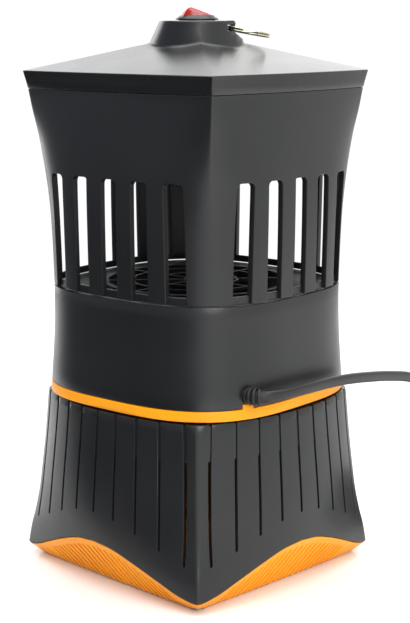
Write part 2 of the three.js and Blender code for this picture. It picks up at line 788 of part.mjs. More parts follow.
function containerShell() {
  const outside = loft([0, ...CONTAINER_LEVELS, CONTAINER_TOP].map((z) => containerRing(z)));
  const cavityLevels = [-1, ...CONTAINER_LEVELS, CONTAINER_TOP + 1];
  const cavity = loft(cavityLevels.map((z) => containerRing(z, CONTAINER_WALL)));
  const ks = [-4, -3, -2, -1, 0, 1, 2, 3, 4];
  const slits = ks.map(slitTool).flatMap(onFourFaces);
  const wall = solid(cut(outside, [cavity, ...slits]));
  const inset = CONTAINER_WALL - 0.4;
  const lip = loft(
    [
      containerRing(LIP.bottom, inset),
      containerRing(CONTAINER_TOP, inset),
      circleRing(BAYONET.mouth, CONTAINER_TOP),
      circleRing(BAYONET.mouth, LIP.bottom),
    ],
    true,
  );
  const notch = aboutZ(
    boxBetween(60, BAYONET.lugRadius + 0.7, -LIP.notchHalf, LIP.notchHalf, 90, 100),
    DIAGONAL - degrees(SEAT_TWIST),
  );
  const ends = cornerBlocks(outside);
  const whole = [solid(cut(lip, onFourFaces(notch))), ...ends].reduce((sum, s) => sum.add(s), wall);
  const belowTips = boxBetween(-120, 120, -120, 120, -5, TIP_Z);
  const tools = [...onFourFaces(archTool()), belowTips, ...screwHoles()];
  return fromSolid(tools.reduce((body, tool) => body.subtract(solid(tool)), whole));
}

const CORNER_SCREW = 61.6; // half-spacing of the tray's screws

// Solid corners inside the lower end, which take the tray's screws.
function cornerBlocks(outside) {
  const wedge = aboutZ(boxBetween(84.4, 105, -40, 40, TIP_Z, 22), DIAGONAL);
  const inside = solid(outside);
  return onFourFaces(wedge).map((w) => inside.intersect(solid(w)));
}

function screwHoles() {
  return onFourFaces(post(1.5, 0, 19, CORNER_SCREW, CORNER_SCREW, 8));
}

const FOOT = { spacing: 46, radius: 6, height: 2.5 };

function bucketHollow() {
  const [bottom, ...rest] = BUCKET_SECTIONS;
  const rim = rest[rest.length - 1];
  return loft([
    sectionRing(bottom, BUCKET_FLOOR, BUCKET_WALL),
    ...rest.map((s) => sectionRing(s, s.z, BUCKET_WALL)),
    sectionRing(rim, rim.z + 1, BUCKET_WALL),
  ]);
}

function baseTray() {
  const dish = loft(TRAY_SECTIONS.map((s) => sectionRing(s, s.z)));
  const bucket = loft(BUCKET_SECTIONS.map((s) => sectionRing(s, s.z)));
  const footHole = post(FOOT.radius + GAP, -1, FOOT.height + GAP, FOOT.spacing, FOOT.spacing, 14);
  const screw = post(1.9, -1, 8, CORNER_SCREW, CORNER_SCREW, 8);
  const sink = post(3.6, -1, 3.2, CORNER_SCREW, CORNER_SCREW, 10);
  const tray = cut(join([dish, bucket]), [bucketHollow()]);
  return cut(tray, [footHole, screw, sink].flatMap(onFourFaces));
}

function rubberFoot() {
  const { radius, height } = FOOT;
  return turned(
    [
      [0, 0],
      [radius - 0.8, 0],
      [radius, 0.6],
      [radius, height],
      [0, height],
    ],
    14,
  );
}

function baseScrew() {
  return turned(
    [
      [0, 1.1],
      [2.4, 1.1],
      [3, 1.7],
      [3, 2.9],
      [1.2, 2.9],
      [1.2, 17],
      [0, 18],
    ],
    8,
  );
}

node("container_shell", containerShell(), BLACK, container);
node("base_tray", baseTray(), ORANGE, container);
[0, 1, 2, 3].forEach((k) => {
  const foot = rubberFoot().translate(FOOT.spacing, FOOT.spacing, 0);
  const screw = baseScrew().translate(CORNER_SCREW, CORNER_SCREW, 0);
  node("rubber_foot_" + (k + 1), aboutZ(foot, k * QUARTER), RUBBER, container);
  node("base_screw_" + (k + 1), aboutZ(screw, k * QUARTER), STEEL, container);
});

// ---------------------------------------------------------------- mains cord

// The stretch from the boot to the coil, chosen by hand.
const CORD_ROUTE = [
  [76.2, -36.7, 111.8],
  [78.9, -32.8, 111.85],
  [81.4, -25.6, 111.9],
  [82.8, -15.0, 112.0],
  [83.2, -2.0, 111.7],
  [83.0, 12.0, 111.2],
  [82.8, 30.0, 109.8],
  [82.2, 50.0, 107.2],
  [81.2, 73.0, 103.4],
  [80.4, 97.0, 98.0],
  [79.8, 112.2, 89.8],
  [76.4, 127.0, 74.4],
  [71.0, 141.2, 55.2],
  [64.3, 155.0, 36.2],
  [58.6, 168.6, 21.6],
];

function mainsCord() {
  const half = CORD.width / 2;
  const thin = CORD.thickness / 2;
  const section = new THREE.Shape();
  for (let i = 0; i < 8; i += 1) {
    const a = ((i + 0.5) * Math.PI) / 4;
    const x = thin * Math.cos(a);
    const y = half * Math.sin(a);
    if (i === 0) section.moveTo(x, y);
    else section.lineTo(x, y);
  }
  section.closePath();
  const path = new THREE.CatmullRomCurve3(CORD_ROUTE.map(([x, y, z]) => new THREE.Vector3(x, y, z)));
  return new THREE.ExtrudeGeometry(section, { steps: 24, extrudePath: path, bevelEnabled: false });
}

function cordCoil() {
  const { x, y, bottom, top, inner, outer } = COIL;
  return turnedRing(
    [
      [inner, bottom],
      [outer, bottom],
      [outer, top],
      [inner, top],
    ],
    28,
  ).translate(x, y, 0);
}

// A flat tie looped round the coil's bundle.
function cordTie() {
  const { x, y, inner, outer, bottom, top } = COIL;
  const gap = GAP;
  const t = 0.6;
  const outerBox = boxBetween(inner - gap - t, outer + gap + t, -4, 4, 0, top + gap + t);
  const innerBox = boxBetween(inner - gap - 0.5, outer + gap, -5, 5, bottom - gap, top + gap);
  return cut(outerBox, [innerBox]).rotateZ(degrees(55)).translate(x, y, 0);
}

function plugBody() {
  const { x, y, length, width, height } = PLUG;
  const half = width / 2;
  const outline = polygon([
    [0, -4],
    [5, -4.6],
    [12, -half + 1.5],
    [15, -half],
    [length - 1, -half],
    [length, -half + 1],
    [length, half - 1],
    [length - 1, half],
    [15, half],
    [12, half - 1.5],
    [5, 4.6],
    [0, 4],
  ]);
  return plate(outline, 0, height).rotateZ(-QUARTER).translate(x, y, 0);
}

node("mains_cord", mainsCord(), RUBBER);
node("cord_coil", cordCoil(), RUBBER);
node("cord_tie", cordTie(), DARK);
node("plug_body", plugBody(), RUBBER);
[-1, 1].forEach((side, i) => {
  const middle = PLUG.y - PLUG.length - GAP - PLUG.pinLength / 2;
  const pin = new THREE.CylinderGeometry(2, 2, PLUG.pinLength, 12)
    .translate(PLUG.x + side * PLUG.pinOffset, middle, PLUG.height / 2);
  node("plug_pin_" + (i + 1), pin, STEEL);
});

export default zapper;
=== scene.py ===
"""Looks of an electric bug zapper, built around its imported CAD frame.

Shapes are worked out in millimetres in the CAD's own frame, and scaled to metres as each mesh
is made.
"""

import math

import bmesh
import bpy
from mathutils import Matrix, Vector
from mathutils.geometry import delaunay_2d_cdt


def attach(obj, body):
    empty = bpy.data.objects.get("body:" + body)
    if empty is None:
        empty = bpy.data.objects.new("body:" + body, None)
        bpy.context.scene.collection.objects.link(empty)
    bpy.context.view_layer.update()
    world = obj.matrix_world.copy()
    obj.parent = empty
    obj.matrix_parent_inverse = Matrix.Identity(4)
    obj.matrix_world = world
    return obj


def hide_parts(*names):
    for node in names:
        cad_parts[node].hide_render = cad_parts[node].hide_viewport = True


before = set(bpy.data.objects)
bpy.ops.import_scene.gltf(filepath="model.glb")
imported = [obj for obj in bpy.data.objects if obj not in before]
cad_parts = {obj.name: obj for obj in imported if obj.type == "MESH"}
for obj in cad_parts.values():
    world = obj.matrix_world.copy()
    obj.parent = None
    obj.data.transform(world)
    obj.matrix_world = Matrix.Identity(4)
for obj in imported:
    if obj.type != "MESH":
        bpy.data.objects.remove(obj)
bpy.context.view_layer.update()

MM = 0.001
TAU = 2 * math.pi
DIAGONAL = math.radians(45)  # the ring's pocket and the switch lie along this corner
# how far the container is turned from the tower at rest, before the bayonet is turned home
SEAT_TWIST = math.radians(-4.6)
SHARP = 34  # degrees: edges that bend more than this stay sharp

# ---------------------------------------------------------------- dimensions shared with the CAD

TIP_Z, CONTAINER_TOP = 6.3, 98.0
BAND_TOP, HOUSING_TOP = 104.6, 158.6
CAGE_BOTTOM, SILL_Z, SLOT_TOP, CAGE_TOP = 159.4, 163.2, 221.5, 266.0
EAVE_Z = 275.5
BOOT_Y, BOOT_Z = -40.0, 111.8
RING_REACH, RING_Z = 17, 298  # the ring's hinge, out along the corner
SWITCH_Z = 302  # the rocker's hinge

# height: half-width over the face middles, half-diagonal, how creased the corners are
TOWER = {
    99.0: (73.4, 82.4, 0),
    113.5: (72.6, 81.3, 0),
    127.0: (71.9, 80.3, 0),
    141.0: (71.3, 79.7, 0),
    158.0: (70.8, 79.5, 0),
    175.0: (71.0, 79.9, 0),
    188.7: (71.2, 80.4, 0),
    202.0: (71.3, 81.2, 0.04),
    215.5: (71.3, 82.6, 0.12),
    228.7: (71.2, 84.6, 0.3),
    242.0: (71.0, 87.0, 0.55),
    255.0: (70.8, 90.2, 0.85),
    266.0: (70.5, 92.4, 1),
    275.5: (71.5, 95.0, 1),
}
CONTAINER = {
    0.0: (78.5, 99.0, 1),
    6.5: (79.2, 98.0, 1),
    17.5: (79.8, 96.0, 1),
    24.8: (80.0, 94.0, 1),
    39.0: (79.7, 91.0, 1),
    53.5: (78.8, 89.1, 1),
    67.8: (77.6, 87.4, 1),
    82.0: (76.4, 86.0, 1),
    98.0: (75.2, 84.6, 1),
}
TRAY = {0.5: (65.6, 90.5, 0.6), 2.0: (68.2, 93.2, 0.85), 6.0: (72.0, 94.0, 0.9)}
BUCKET = {5.0: (71.2, 82.4, 0), 11.0: (74.6, 83.2, 0), 22.0: (76.3, 83.0, 0), 46.0: (74.6, 81.6, 0)}

ROOF_SLOPE, ROOF_HALF = 0.296, 67.2
CORNER_SOFT = 0.55  # radius left on a creased corner

# ---------------------------------------------------------------- camera

CAMERA = (535.3, -629.0, 302.0)
CAMERA_TURN = (79.0, 0, 40.1)  # degrees
CAMERA_LENS = 86.5


def make_camera():
    data = bpy.data.cameras.new("camera")
    data.lens = CAMERA_LENS
    data.sensor_width = 36
    data.clip_start = 0.01
    data.clip_end = 100
    cam = bpy.data.objects.new("camera", data)
    cam.location = Vector(CAMERA) * MM
    cam.rotation_euler = [math.radians(a) for a in CAMERA_TURN]
    bpy.context.scene.collection.objects.link(cam)
    bpy.context.scene.camera = cam


# ---------------------------------------------------------------- meshes


def make(name, parts, sharp=SHARP):
    """One object from (vertices, faces) parts in millimetres, smooth but for its sharp edges."""
    vertices, faces = [], []
    for part_vertices, part_faces in parts:
        start = len(vertices)
        vertices += [(x * MM, y * MM, z * MM) for x, y, z in part_vertices]
        faces += [[start + i for i in face] for face in part_faces]
    mesh = bpy.data.meshes.new(name)
    mesh.from_pydata(vertices, [], faces)
    bm = bmesh.new()
    bm.from_mesh(mesh)
    bmesh.ops.remove_doubles(bm, verts=bm.verts, dist=2e-6)
    bmesh.ops.dissolve_degenerate(bm, edges=bm.edges, dist=1e-6)
    bmesh.ops.recalc_face_normals(bm, faces=bm.faces)
    bm.to_mesh(mesh)
    bm.free()
    obj = bpy.data.objects.new(name, mesh)
    bpy.context.scene.collection.objects.link(obj)
    return smooth(obj, sharp)


def smooth(obj, sharp=SHARP):
    obj.data.shade_smooth()
    obj.data.set_sharp_from_angle(angle=math.radians(sharp))
    return obj


def loft(rings, closed=False):
    """Skins rings of equal length; closed joins the last ring to the first, open caps both ends."""
    n = len(rings[0])
    vertices = [tuple(p) for ring in rings for p in ring]
    faces = []
    for i in range(len(rings) if closed else len(rings) - 1):
        a, b = i * n, ((i + 1) % len(rings)) * n
        faces += [[a + k, a + (k + 1) % n, b + (k + 1) % n, b + k] for k in range(n)]
    if not closed:
        faces += [list(range(n))[::-1], list(range((len(rings) - 1) * n, len(rings) * n))]
    return vertices, faces


def turned(profile, segments=96, closed=False):
    """A body of revolution about Z from (radius, z) points; open profiles are capped."""
    angles = [TAU * k / segments for k in range(segments)]
    rings = [[(r * math.cos(a), r * math.sin(a), z) for a in angles] for r, z in profile]
    return loft(rings, closed)


def moved(part, matrix):
    vertices, faces = part
    return [tuple(matrix @ Vector(v)) for v in vertices], faces


def about_z(part, angle):
    return moved(part, Matrix.Rotation(angle, 4, "Z"))


def box(x0, x1, y0, y1, z0, z1):
    vertices = [(x, y, z) for z in (z0, z1) for y in (y0, y1) for x in (x0, x1)]
    faces = [[0, 2, 3, 1], [4, 5, 7, 6], [0, 1, 5, 4], [2, 6, 7, 3], [0, 4, 6, 2], [1, 3, 7, 5]]
    return vertices, faces


def apply_modifiers(obj):
    graph = bpy.context.evaluated_depsgraph_get()
    mesh = bpy.data.meshes.new_from_object(obj.evaluated_get(graph))
    obj.modifiers.clear()
    obj.data = mesh


def boolean(obj, part, sharp=SHARP):
    """Cuts a part out of an object."""
    tool = make("tool", [part])
    modifier = obj.modifiers.new("boolean", "BOOLEAN")
    modifier.operation = "DIFFERENCE"
    modifier.solver = "EXACT"
    modifier.object = tool
    apply_modifiers(obj)
    bpy.data.objects.remove(tool)
    return smooth(obj, sharp)


def rounded_rectangle(half_x, half_y, radius, steps=5):
    corners = [(1, 1, 0), (-1, 1, 90), (-1, -1, 180), (1, -1, 270)]
    points = []
    for sx, sy, start in corners:
        for k in range(steps + 1):
            a = math.radians(start + 90 * k / steps)
            x = sx * (half_x - radius) + radius * math.cos(a)
            points.append((x, sy * (half_y - radius) + radius * math.sin(a)))
    return points


def tube(path, section, up=Vector((0, 0, 1)), scales=None):
    """Sweeps a closed (across, along up) section along a path of Vectors, caps included."""
    rings = []
    last = len(path) - 1
    for i, p in enumerate(path):
        tangent = (path[min(i + 1, last)] - path[max(i - 1, 0)]).normalized()
        width = (up - up.dot(tangent) * tangent).normalized()
        across = tangent.cross(width)
        s = scales[i] if scales else 1
        rings.append([p + across * (u * s) + width * (v * s) for u, v in section])
    return loft(rings)


# ---------------------------------------------------------------- the squarish sections


def cubic(table, x):
    """Smooth interpolation through a {x: (values)} table."""
    keys = list(table)
    if x <= keys[0]:
        return table[keys[0]]
    if x >= keys[-1]:
        return table[keys[-1]]
    i = next(k for k, key in enumerate(keys) if key > x)
    x0, x1 = keys[i - 1], keys[i]
    before, after = keys[max(i - 2, 0)], keys[min(i + 1, len(keys) - 1)]
    t, span = (x - x0) / (x1 - x0), x1 - x0
    values = []
    for a, b, c, d in zip(table[before], table[x0], table[x1], table[after]):
        m0 = (c - a) / (x1 - before) * span
        m1 = (d - b) / (after - x0) * span
        h = (2 * t**3 - 3 * t**2 + 1) * b + (t**3 - 2 * t**2 + t) * m0
        values.append(h + (-2 * t**3 + 3 * t**2) * c + (t**3 - t**2) * m1)
    return values


def radius_at(section, inset, angle):
    """Distance from the axis at an angle from a face's middle, up to 45 degrees either way."""
    side, diag, crease = section
    side -= inset
    diag -= inset * (1 + 0.41 * crease)
    corner = diag / math.sqrt(2)
    bow = side - corner
    if abs(bow) < 1e-6:
        sharp = side / math.cos(angle)
    else:
        r = (corner * corner + bow * bow) / (2 * bow)
        along = (side - r) * math.cos(angle)
        root = math.sqrt(along * along - (side - r) ** 2 + r * r)
        sharp = along + math.copysign(root, r)
    power = min(60, 1 / max(0.001, 0.5 - math.log2(diag / side)))
    total = abs(math.cos(angle)) ** power + abs(math.sin(angle)) ** power
    return crease * sharp + (1 - crease) * side / total ** (1 / power)


def local_point(section, inset, angle):
    """(tangential x, outward y) on one face, with a creased corner softened."""
    r = radius_at(section, inset, angle)
    x, y = r * math.sin(angle), r * math.cos(angle)
    edge = (y - abs(x)) / math.sqrt(2)
    soft = CORNER_SOFT * section[2]
    back = (math.sqrt(edge * edge + soft * soft) - abs(edge)) / math.sqrt(2)
    return x - math.copysign(back, x), y - back


CORNER_STEPS = [0, 0.25, 0.6, 1.1, 1.9, 3.2, 5, 7.5, 10.5]
FACE_ANGLES = [-45 + a for a in CORNER_STEPS] + [-31.5 + 3.5 * k for k in range(19)]
FACE_ANGLES += [45 - a for a in reversed(CORNER_STEPS[1:])]
FACE_ANGLES = [math.radians(a) for a in FACE_ANGLES]


def on_face(x, y, z, k):
    """A point of one face, turned to face k: 0 looks along +X."""
    c, s = math.cos(k * TAU / 4), math.sin(k * TAU / 4)
    return (y * c - x * s, y * s + x * c, z)


def ring(table, z, inset=0, at=None):
    section = cubic(table, z if at is None else at)
    points = [local_point(section, inset, a) for a in FACE_ANGLES]
    return [on_face(x, y, z, k) for k in range(4) for x, y in points]


def circle(radius, z):
    angles = [a + k * TAU / 4 for k in range(4) for a in FACE_ANGLES]
    return [(radius * math.cos(a), radius * math.sin(a), z) for a in angles]


def roof_ring(radius, lift=0):
    ring_points = []
    for x, y, _ in circle(radius, 0):
        rise = ROOF_SLOPE * (ROOF_HALF - max(abs(x), abs(y)))
        ring_points.append((x, y, EAVE_Z + rise + lift))
    return ring_points


def between(a, b, t):
    return [tuple(p + (q - p) * t for p, q in zip(u, v)) for u, v in zip(a, b)]


# ---------------------------------------------------------------- walls with notched edges

FACE_MM = 1.25  # millimetres of arc for each degree, to mesh a face in the flat
CORNER_MM = 45 * FACE_MM


def angle_of(table, x, z, inset=0):
    """The angle at which a face's surface has this tangential x."""
    section = cubic(table, z)
    low, high = 0.0, TAU / 8
    for _ in range(26):
        middle = (low + high) / 2
        if local_point(section, inset, middle)[0] < abs(x):
            low = middle
        else:
            high = middle
    return math.copysign((low + high) / 2, x)


def wall_point(table, flat, inset):
    """Maps a flat (arc, z) point to the wall; cuts run straight in, corners shrink."""
    u, z = flat
    angle = math.radians(u / FACE_MM)
    section = cubic(table, z)
    if inset == 0 or abs(abs(u) - CORNER_MM) < 1e-9:
        return (*local_point(section, inset, angle), z)
    x = local_point(section, 0, angle)[0]
    corner = local_point(section, 0, TAU / 8)[0]
    inner = local_point(section, inset, TAU / 8)[0]
    start = corner * 0.82
    share = max(0.0, (abs(x) - start) / (corner - start))
    x = math.copysign(abs(x) - share * (corner - inner), x)
    inner_angle = angle_of(table, x, z, inset)
    return (*local_point(section, inset, inner_angle), z)


def offset_chain(chain, distance):
    """Moves an open chain towards its left side; the ends keep their u."""
    moved_points = []
    for i, (u, z) in enumerate(chain):
        normals = []
        for a, b in ((i - 1, i), (i, i + 1)):
            if a < 0 or b >= len(chain):
                continue
            du, dz = chain[b][0] - chain[a][0], chain[b][1] - chain[a][1]
            length = math.hypot(du, dz)
            normals.append((-dz / length, du / length))
        if len(normals) == 1:
            moved_points.append((u, z + math.copysign(distance, normals[0][1])))
            continue
        (ax, ay), (bx, by) = normals
        scale = distance / max(0.35, 1 + ax * bx + ay * by)
        moved_points.append((u + (ax + bx) * scale, z + (ay + by) * scale))
    return moved_points


def inside(polygon, u, z):
    found = False
    for (u0, z0), (u1, z1) in zip(polygon, polygon[1:] + polygon[:1]):
        if (z0 > z) != (z1 > z) and u < (u1 - u0) * (z - z0) / (z1 - z0) + u0:
            found = not found
    return found


def notched_wall(table, wall, bevel, bottom, top, spacing):
    """One face of a wall, from two chains: bottom left to right and top right to left."""
    chains = [bottom, top]
    edges = [offset_chain(chain, bevel) for chain in chains]
    side = CORNER_MM
    low, high = edges[0][0][1], edges[1][0][1]
    steps = max(2, round((high - low) / spacing))
    heights = [low + (high - low) * k / steps for k in range(1, steps)]
    outline = edges[0] + [(side, z) for z in heights]
    outline += edges[1] + [(-side, z) for z in reversed(heights)]
    points = [Vector(p) for p in outline]
    links = [(i, (i + 1) % len(points)) for i in range(len(points))]
    count = round(2 * side / spacing)
    columns = [-side + 2 * side * j / count for j in range(1, count)]
    columns += [sign * (side - d) for sign in (-1, 1) for d in (0.5, 1.2, 2.3)]
    for u in columns:
        clearance = 0.45 * spacing if side - abs(u) > 2.4 else 0.4
        for z in heights:
            near = min((u - p[0]) ** 2 + (z - p[1]) ** 2 for p in outline)
            if near > clearance**2 and inside(outline, u, z):
                points.append(Vector((u, z)))
    flat, _, triangles, *_ = delaunay_2d_cdt(points, links, [], 0, 1e-6)
    kept = []
    for tri in triangles:
        centre = sum((flat[i] for i in tri), Vector((0, 0))) / 3
        if inside(outline, centre.x, centre.y):
            kept.append(list(tri))
    n = len(flat)
    vertices = [wall_point(table, tuple(p), 0) for p in flat]
    vertices += [wall_point(table, tuple(p), wall) for p in flat]
    faces = kept + [[i + n for i in reversed(tri)] for tri in kept]
    turn = bevel * 0.3
    for chain, edge in zip(chains, edges):
        softened = offset_chain(chain, turn)
        rows = [(edge, 0), (softened, turn), (chain, bevel)]
        rows += [(chain, wall - bevel), (softened, wall - turn), (edge, wall)]
        start = len(vertices)
        m = len(chain)
        for points_2d, inset in rows:
            vertices += [wall_point(table, p, inset) for p in points_2d]
        for r in range(len(rows) - 1):
            a, b = start + r * m, start + (r + 1) * m
            faces += [[a + i, b + i, b + i + 1, a + i + 1] for i in range(m - 1)]
    return vertices, faces


def skin_normal(table, angle, z):
    """The wall's outward normal on face 0, from differences along its surface."""
    step = 0.002
    low, high = [local_point(cubic(table, z), 0, angle + turn) for turn in (-step, step)]
    under, over = [local_point(cubic(table, z + rise), 0, angle) for rise in (-0.5, 0.5)]
    across = Vector((high[1] - low[1], high[0] - low[0], 0))
    if abs(angle) > math.radians(44.9):
        across = Vector((-math.copysign(1, angle), 1, 0))
    rise = Vector((over[1] - under[1], over[0] - under[0], 1))
    return across.cross(rise).normalized()


def true_normals(obj, table, twist=0):
    """Gives the outer skin its exact normals, so that reflections run smoothly past the cuts."""
    skin = {}
    keys = list(table)
    back = Matrix.Rotation(-twist, 3, "Z")
    for vertex in obj.data.vertices:
        x, y, z = back @ (vertex.co / MM)
        k = round(math.atan2(y, x) / (TAU / 4))
        angle = math.atan2(y, x) - k * TAU / 4
        if not keys[0] + 0.5 < z < keys[-1] - 0.5:
            continue
        if abs(math.hypot(x, y) - math.hypot(*local_point(cubic(table, z), 0, angle))) < 0.1:
            turn = Matrix.Rotation(k * TAU / 4 + twist, 3, "Z")
            skin[vertex.index] = tuple(turn @ skin_normal(table, angle, z))
    normals = [(0, 0, 0)] * len(obj.data.loops)
    for face in obj.data.polygons:
        if all(i in skin for i in face.vertices):
            for loop, i in zip(face.loop_indices, face.vertices):
                normals[loop] = skin[i]
    obj.data.normals_split_custom_set(normals)


def on_four_faces(part):
    vertices, faces = part
    return [([on_face(x, y, z, k) for x, y, z in vertices], faces) for k in range(4)]


def flat_chain(table, points, spacing):
    """Turns (x, z) points of a face into flat points, with extra ones along long straights."""
    fine = []
    for (x0, z0), (x1, z1) in zip(points, points[1:]):
        steps = max(1, round(math.hypot(x1 - x0, z1 - z0) / spacing))
        fine += [(x0 + (x1 - x0) * k / steps, z0 + (z1 - z0) * k / steps) for k in range(steps)]
    fine.append(points[-1])
    flat = [(math.degrees(angle_of(table, x, z)) * FACE_MM, z) for x, z in fine]
    first, last = [(math.copysign(CORNER_MM, u), z) for u, z in (flat[0], flat[-1])]
    return [first, *[p for p in flat if abs(p[0]) < CORNER_MM - 0.3], last]


# ---------------------------------------------------------------- materials


class Nodes:
    """A Principled material with helpers for procedural detail in frame coordinates."""

    def __init__(self, name):
        self.material = bpy.data.materials.new(name)
        self.material.use_nodes = True
        self.tree = self.material.node_tree
        self.shader = self.tree.nodes["Principled BSDF"]
        coordinates = self.tree.nodes.new("ShaderNodeTexCoord")
        self.object = coordinates.outputs["Object"]

    def new(self, kind, **values):
        made = self.tree.nodes.new(kind)
        for key, value in values.items():
            if key in made.inputs:
                made.inputs[key].default_value = value
            else:
                setattr(made, key, value)
        return made

    def link(self, a, b):
        self.tree.links.new(a, b)

    def noise(self, scale, detail=3, stretch=(1, 1, 1)):
        mapping = self.new("ShaderNodeMapping")
        mapping.inputs["Scale"].default_value = stretch
        self.link(self.object, mapping.inputs["Vector"])
        made = self.new("ShaderNodeTexNoise", Scale=scale, Detail=detail)
        self.link(mapping.outputs["Vector"], made.inputs["Vector"])
        return made.outputs["Fac"]

    def ramp(self, source, low, high, a=0.3, b=0.7):
        made = self.new("ShaderNodeMapRange")
        made.inputs["From Min"].default_value = a
        made.inputs["From Max"].default_value = b
        made.inputs["To Min"].default_value = low
        made.inputs["To Max"].default_value = high
        self.link(source, made.inputs["Value"])
        return made.outputs["Result"]

    def colours(self, source, a, b, low=0.35, high=0.65):
        made = self.new("ShaderNodeValToRGB")
        made.color_ramp.elements[0].position = low
        made.color_ramp.elements[1].position = high
        made.color_ramp.elements[0].color = (*a, 1)
        made.color_ramp.elements[1].color = (*b, 1)
        self.link(source, made.inputs["Fac"])
        self.link(made.outputs["Color"], self.shader.inputs["Base Color"])
        return made

    def bump(self, source, strength, distance):
        made = self.new("ShaderNodeBump", Strength=strength, Distance=distance)
        self.link(source, made.inputs["Height"])
        self.link(made.outputs["Normal"], self.shader.inputs["Normal"])

    def set(self, **values):
        for key, value in values.items():
            self.shader.inputs[key.replace("_", " ")].default_value = value


def plastic(name, dark, light, rough, grain=700, strength=0.12, patch=14, **more):
    """Moulded plastic: slow colour drift, uneven gloss and a fine grain."""
    m = Nodes(name)
    m.colours(m.noise(patch, 4), dark, light)
    m.link(m.ramp(m.noise(patch * 2.3, 3), rough[0], rough[1]), m.shader.inputs["Roughness"])
    m.bump(m.noise(grain, 2), strength, 0.00004)
    m.set(**more)
    return m.material


def metal(name, dark, light, rough, stretch=(1, 1, 12), scale=300):
    m = Nodes(name)
    fibre = m.noise(scale, 4, stretch)
    m.colours(fibre, dark, light)
    m.link(m.ramp(fibre, rough[0], rough[1]), m.shader.inputs["Roughness"])
    m.bump(fibre, 0.15, 0.00003)
    m.set(Metallic=1.0)
    return m.material


def circuit_board(name):
    m = Nodes(name)
    m.colours(m.noise(420, 1, (1, 3, 1)), (0.012, 0.11, 0.04), (0.03, 0.2, 0.08), 0.48, 0.52)
    m.set(Roughness=0.45)
    return m.material


def make_materials():
    black = ((0.0085, 0.0092, 0.0105), (0.0115, 0.012, 0.0132))
    # a deeper black: the own colour of the cord tie and other dark parts, and on the inlet deck and
    # guard also painted shade for the dark inside of the housing
    darker_black_and_painted_shade = ((0.005, 0.0055, 0.0065), (0.008, 0.0085, 0.0095))
    rubber = ((0.008, 0.008, 0.009), (0.014, 0.014, 0.015))
    sheath = ((0.0085, 0.0085, 0.009), (0.013, 0.013, 0.014))
    copper = ((0.5, 0.22, 0.09), (0.7, 0.36, 0.17))
    return {
        "black": plastic("black_plastic", *black, (0.3, 0.38), 620, 0.1, Specular_IOR_Level=0.5),
        "cover": plastic("cover_plastic", *black, (0.25, 0.28), 500, 0.04, Specular_IOR_Level=0.5),
        "dark": plastic("dark_plastic", *darker_black_and_painted_shade, (0.5, 0.62), 500, 0.2, Specular_IOR_Level=0.2),
        "orange": plastic(
            "orange_plastic",
            (0.9, 0.31, 0.002),
            (0.96, 0.37, 0.004),
            (0.34, 0.44),
            600,
            0.08,
            Specular_IOR_Level=0.3,
        ),
        "red": plastic(
            "red_plastic",
            (0.5, 0.0015, 0.001),
            (0.68, 0.003, 0.002),
            (0.1, 0.16),
            300,
            0.04,
            Transmission_Weight=0.35,
            IOR=1.49,
        ),
        "rubber": plastic("black_rubber", *rubber, (0.5, 0.65), 900, 0.3),
        "sheath": plastic("cord_sheath", *sheath, (0.32, 0.42), 800, 0.2),
        "nickel": metal("nickel", (0.66, 0.6, 0.46), (0.84, 0.8, 0.68), (0.12, 0.24), scale=500),
        "steel": metal("zinc_steel", (0.42, 0.43, 0.45), (0.62, 0.63, 0.65), (0.25, 0.4)),
        "copper": metal("bare_copper", *copper, (0.3, 0.45), (9, 9, 1)),
        "board": circuit_board("circuit_board"),
        "led": plastic("led_white", (0.62, 0.63, 0.7), (0.75, 0.76, 0.84), (0.2, 0.3), 400, 0.1),
        "window": plastic(
            "lamp_window",
            (0.75, 0.78, 0.86),
            (0.85, 0.88, 0.94),
            (0.35, 0.5),
            500,
            0.3,
            Transmission_Weight=0.6,
            IOR=1.49,
        ),
    }


def finish_piece(obj, material, body, slot, *nodes):
    obj.data.materials.clear()
    obj.data.materials.append(MATERIALS[material])
    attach(obj, body)
    if nodes:
        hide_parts(*nodes)
    return obj


# ---------------------------------------------------------------- mains cord and its pieces

CORD_EXIT = (76.2, -36.7, 111.8)
CORD_ROUTE = [
    CORD_EXIT,
    (78.9, -32.8, 111.85),
    (81.4, -25.6, 111.9),
    (82.8, -15.0, 112.0),
    (83.2, -2.0, 111.7),
    (83.0, 12.0, 111.2),
    (82.8, 30.0, 109.8),
    (82.2, 50.0, 107.2),
    (81.2, 73.0, 103.4),
    (80.4, 97.0, 98.0),
    (79.8, 112.2, 89.8),
    (76.4, 127.0, 74.4),
    (71.0, 141.2, 55.2),
    (64.3, 155.0, 36.2),
    (58.6, 168.6, 21.6),
]
ROUTE_END_Z = CORD_ROUTE[-1][2]
COIL_CENTRE = (86.0, 178.0)
COIL_INNER, COIL_STEP = 29.0, 5.2  # radius of the first column of turns, and the next ones' step
LAYERS = (10.9, 4.1)
COIL_FROM, COIL_TO, COIL_TURN = -12, 2010, 12  # degrees wound
PLUG_AT = (116.0, 140.5)
PLUG_Z, PLUG_LENGTH = 7.0, 36


def ease(t):
    t = min(1.0, max(0.0, t))
    return t * t * (3 - 2 * t)


def coil_place(turn):
    """(radius, z) of the winding at an angle in degrees counted on from the route's end."""
    low, high = LAYERS[1], LAYERS[0]
    radius = COIL_INNER + COIL_STEP * ease((turn - 701) / 27)
    radius += COIL_STEP * ease((turn - 1367) / 27)
    z = ROUTE_END_Z + (high - ROUTE_END_Z) * ease((turn + 19) / 74)
    z += (low - high) * ease((turn - 341) / 54)
    z += (high - low) * ease((turn - 1026) / 35)
    z += (low - high) * ease((turn - 1690) / 37)
    return radius, z


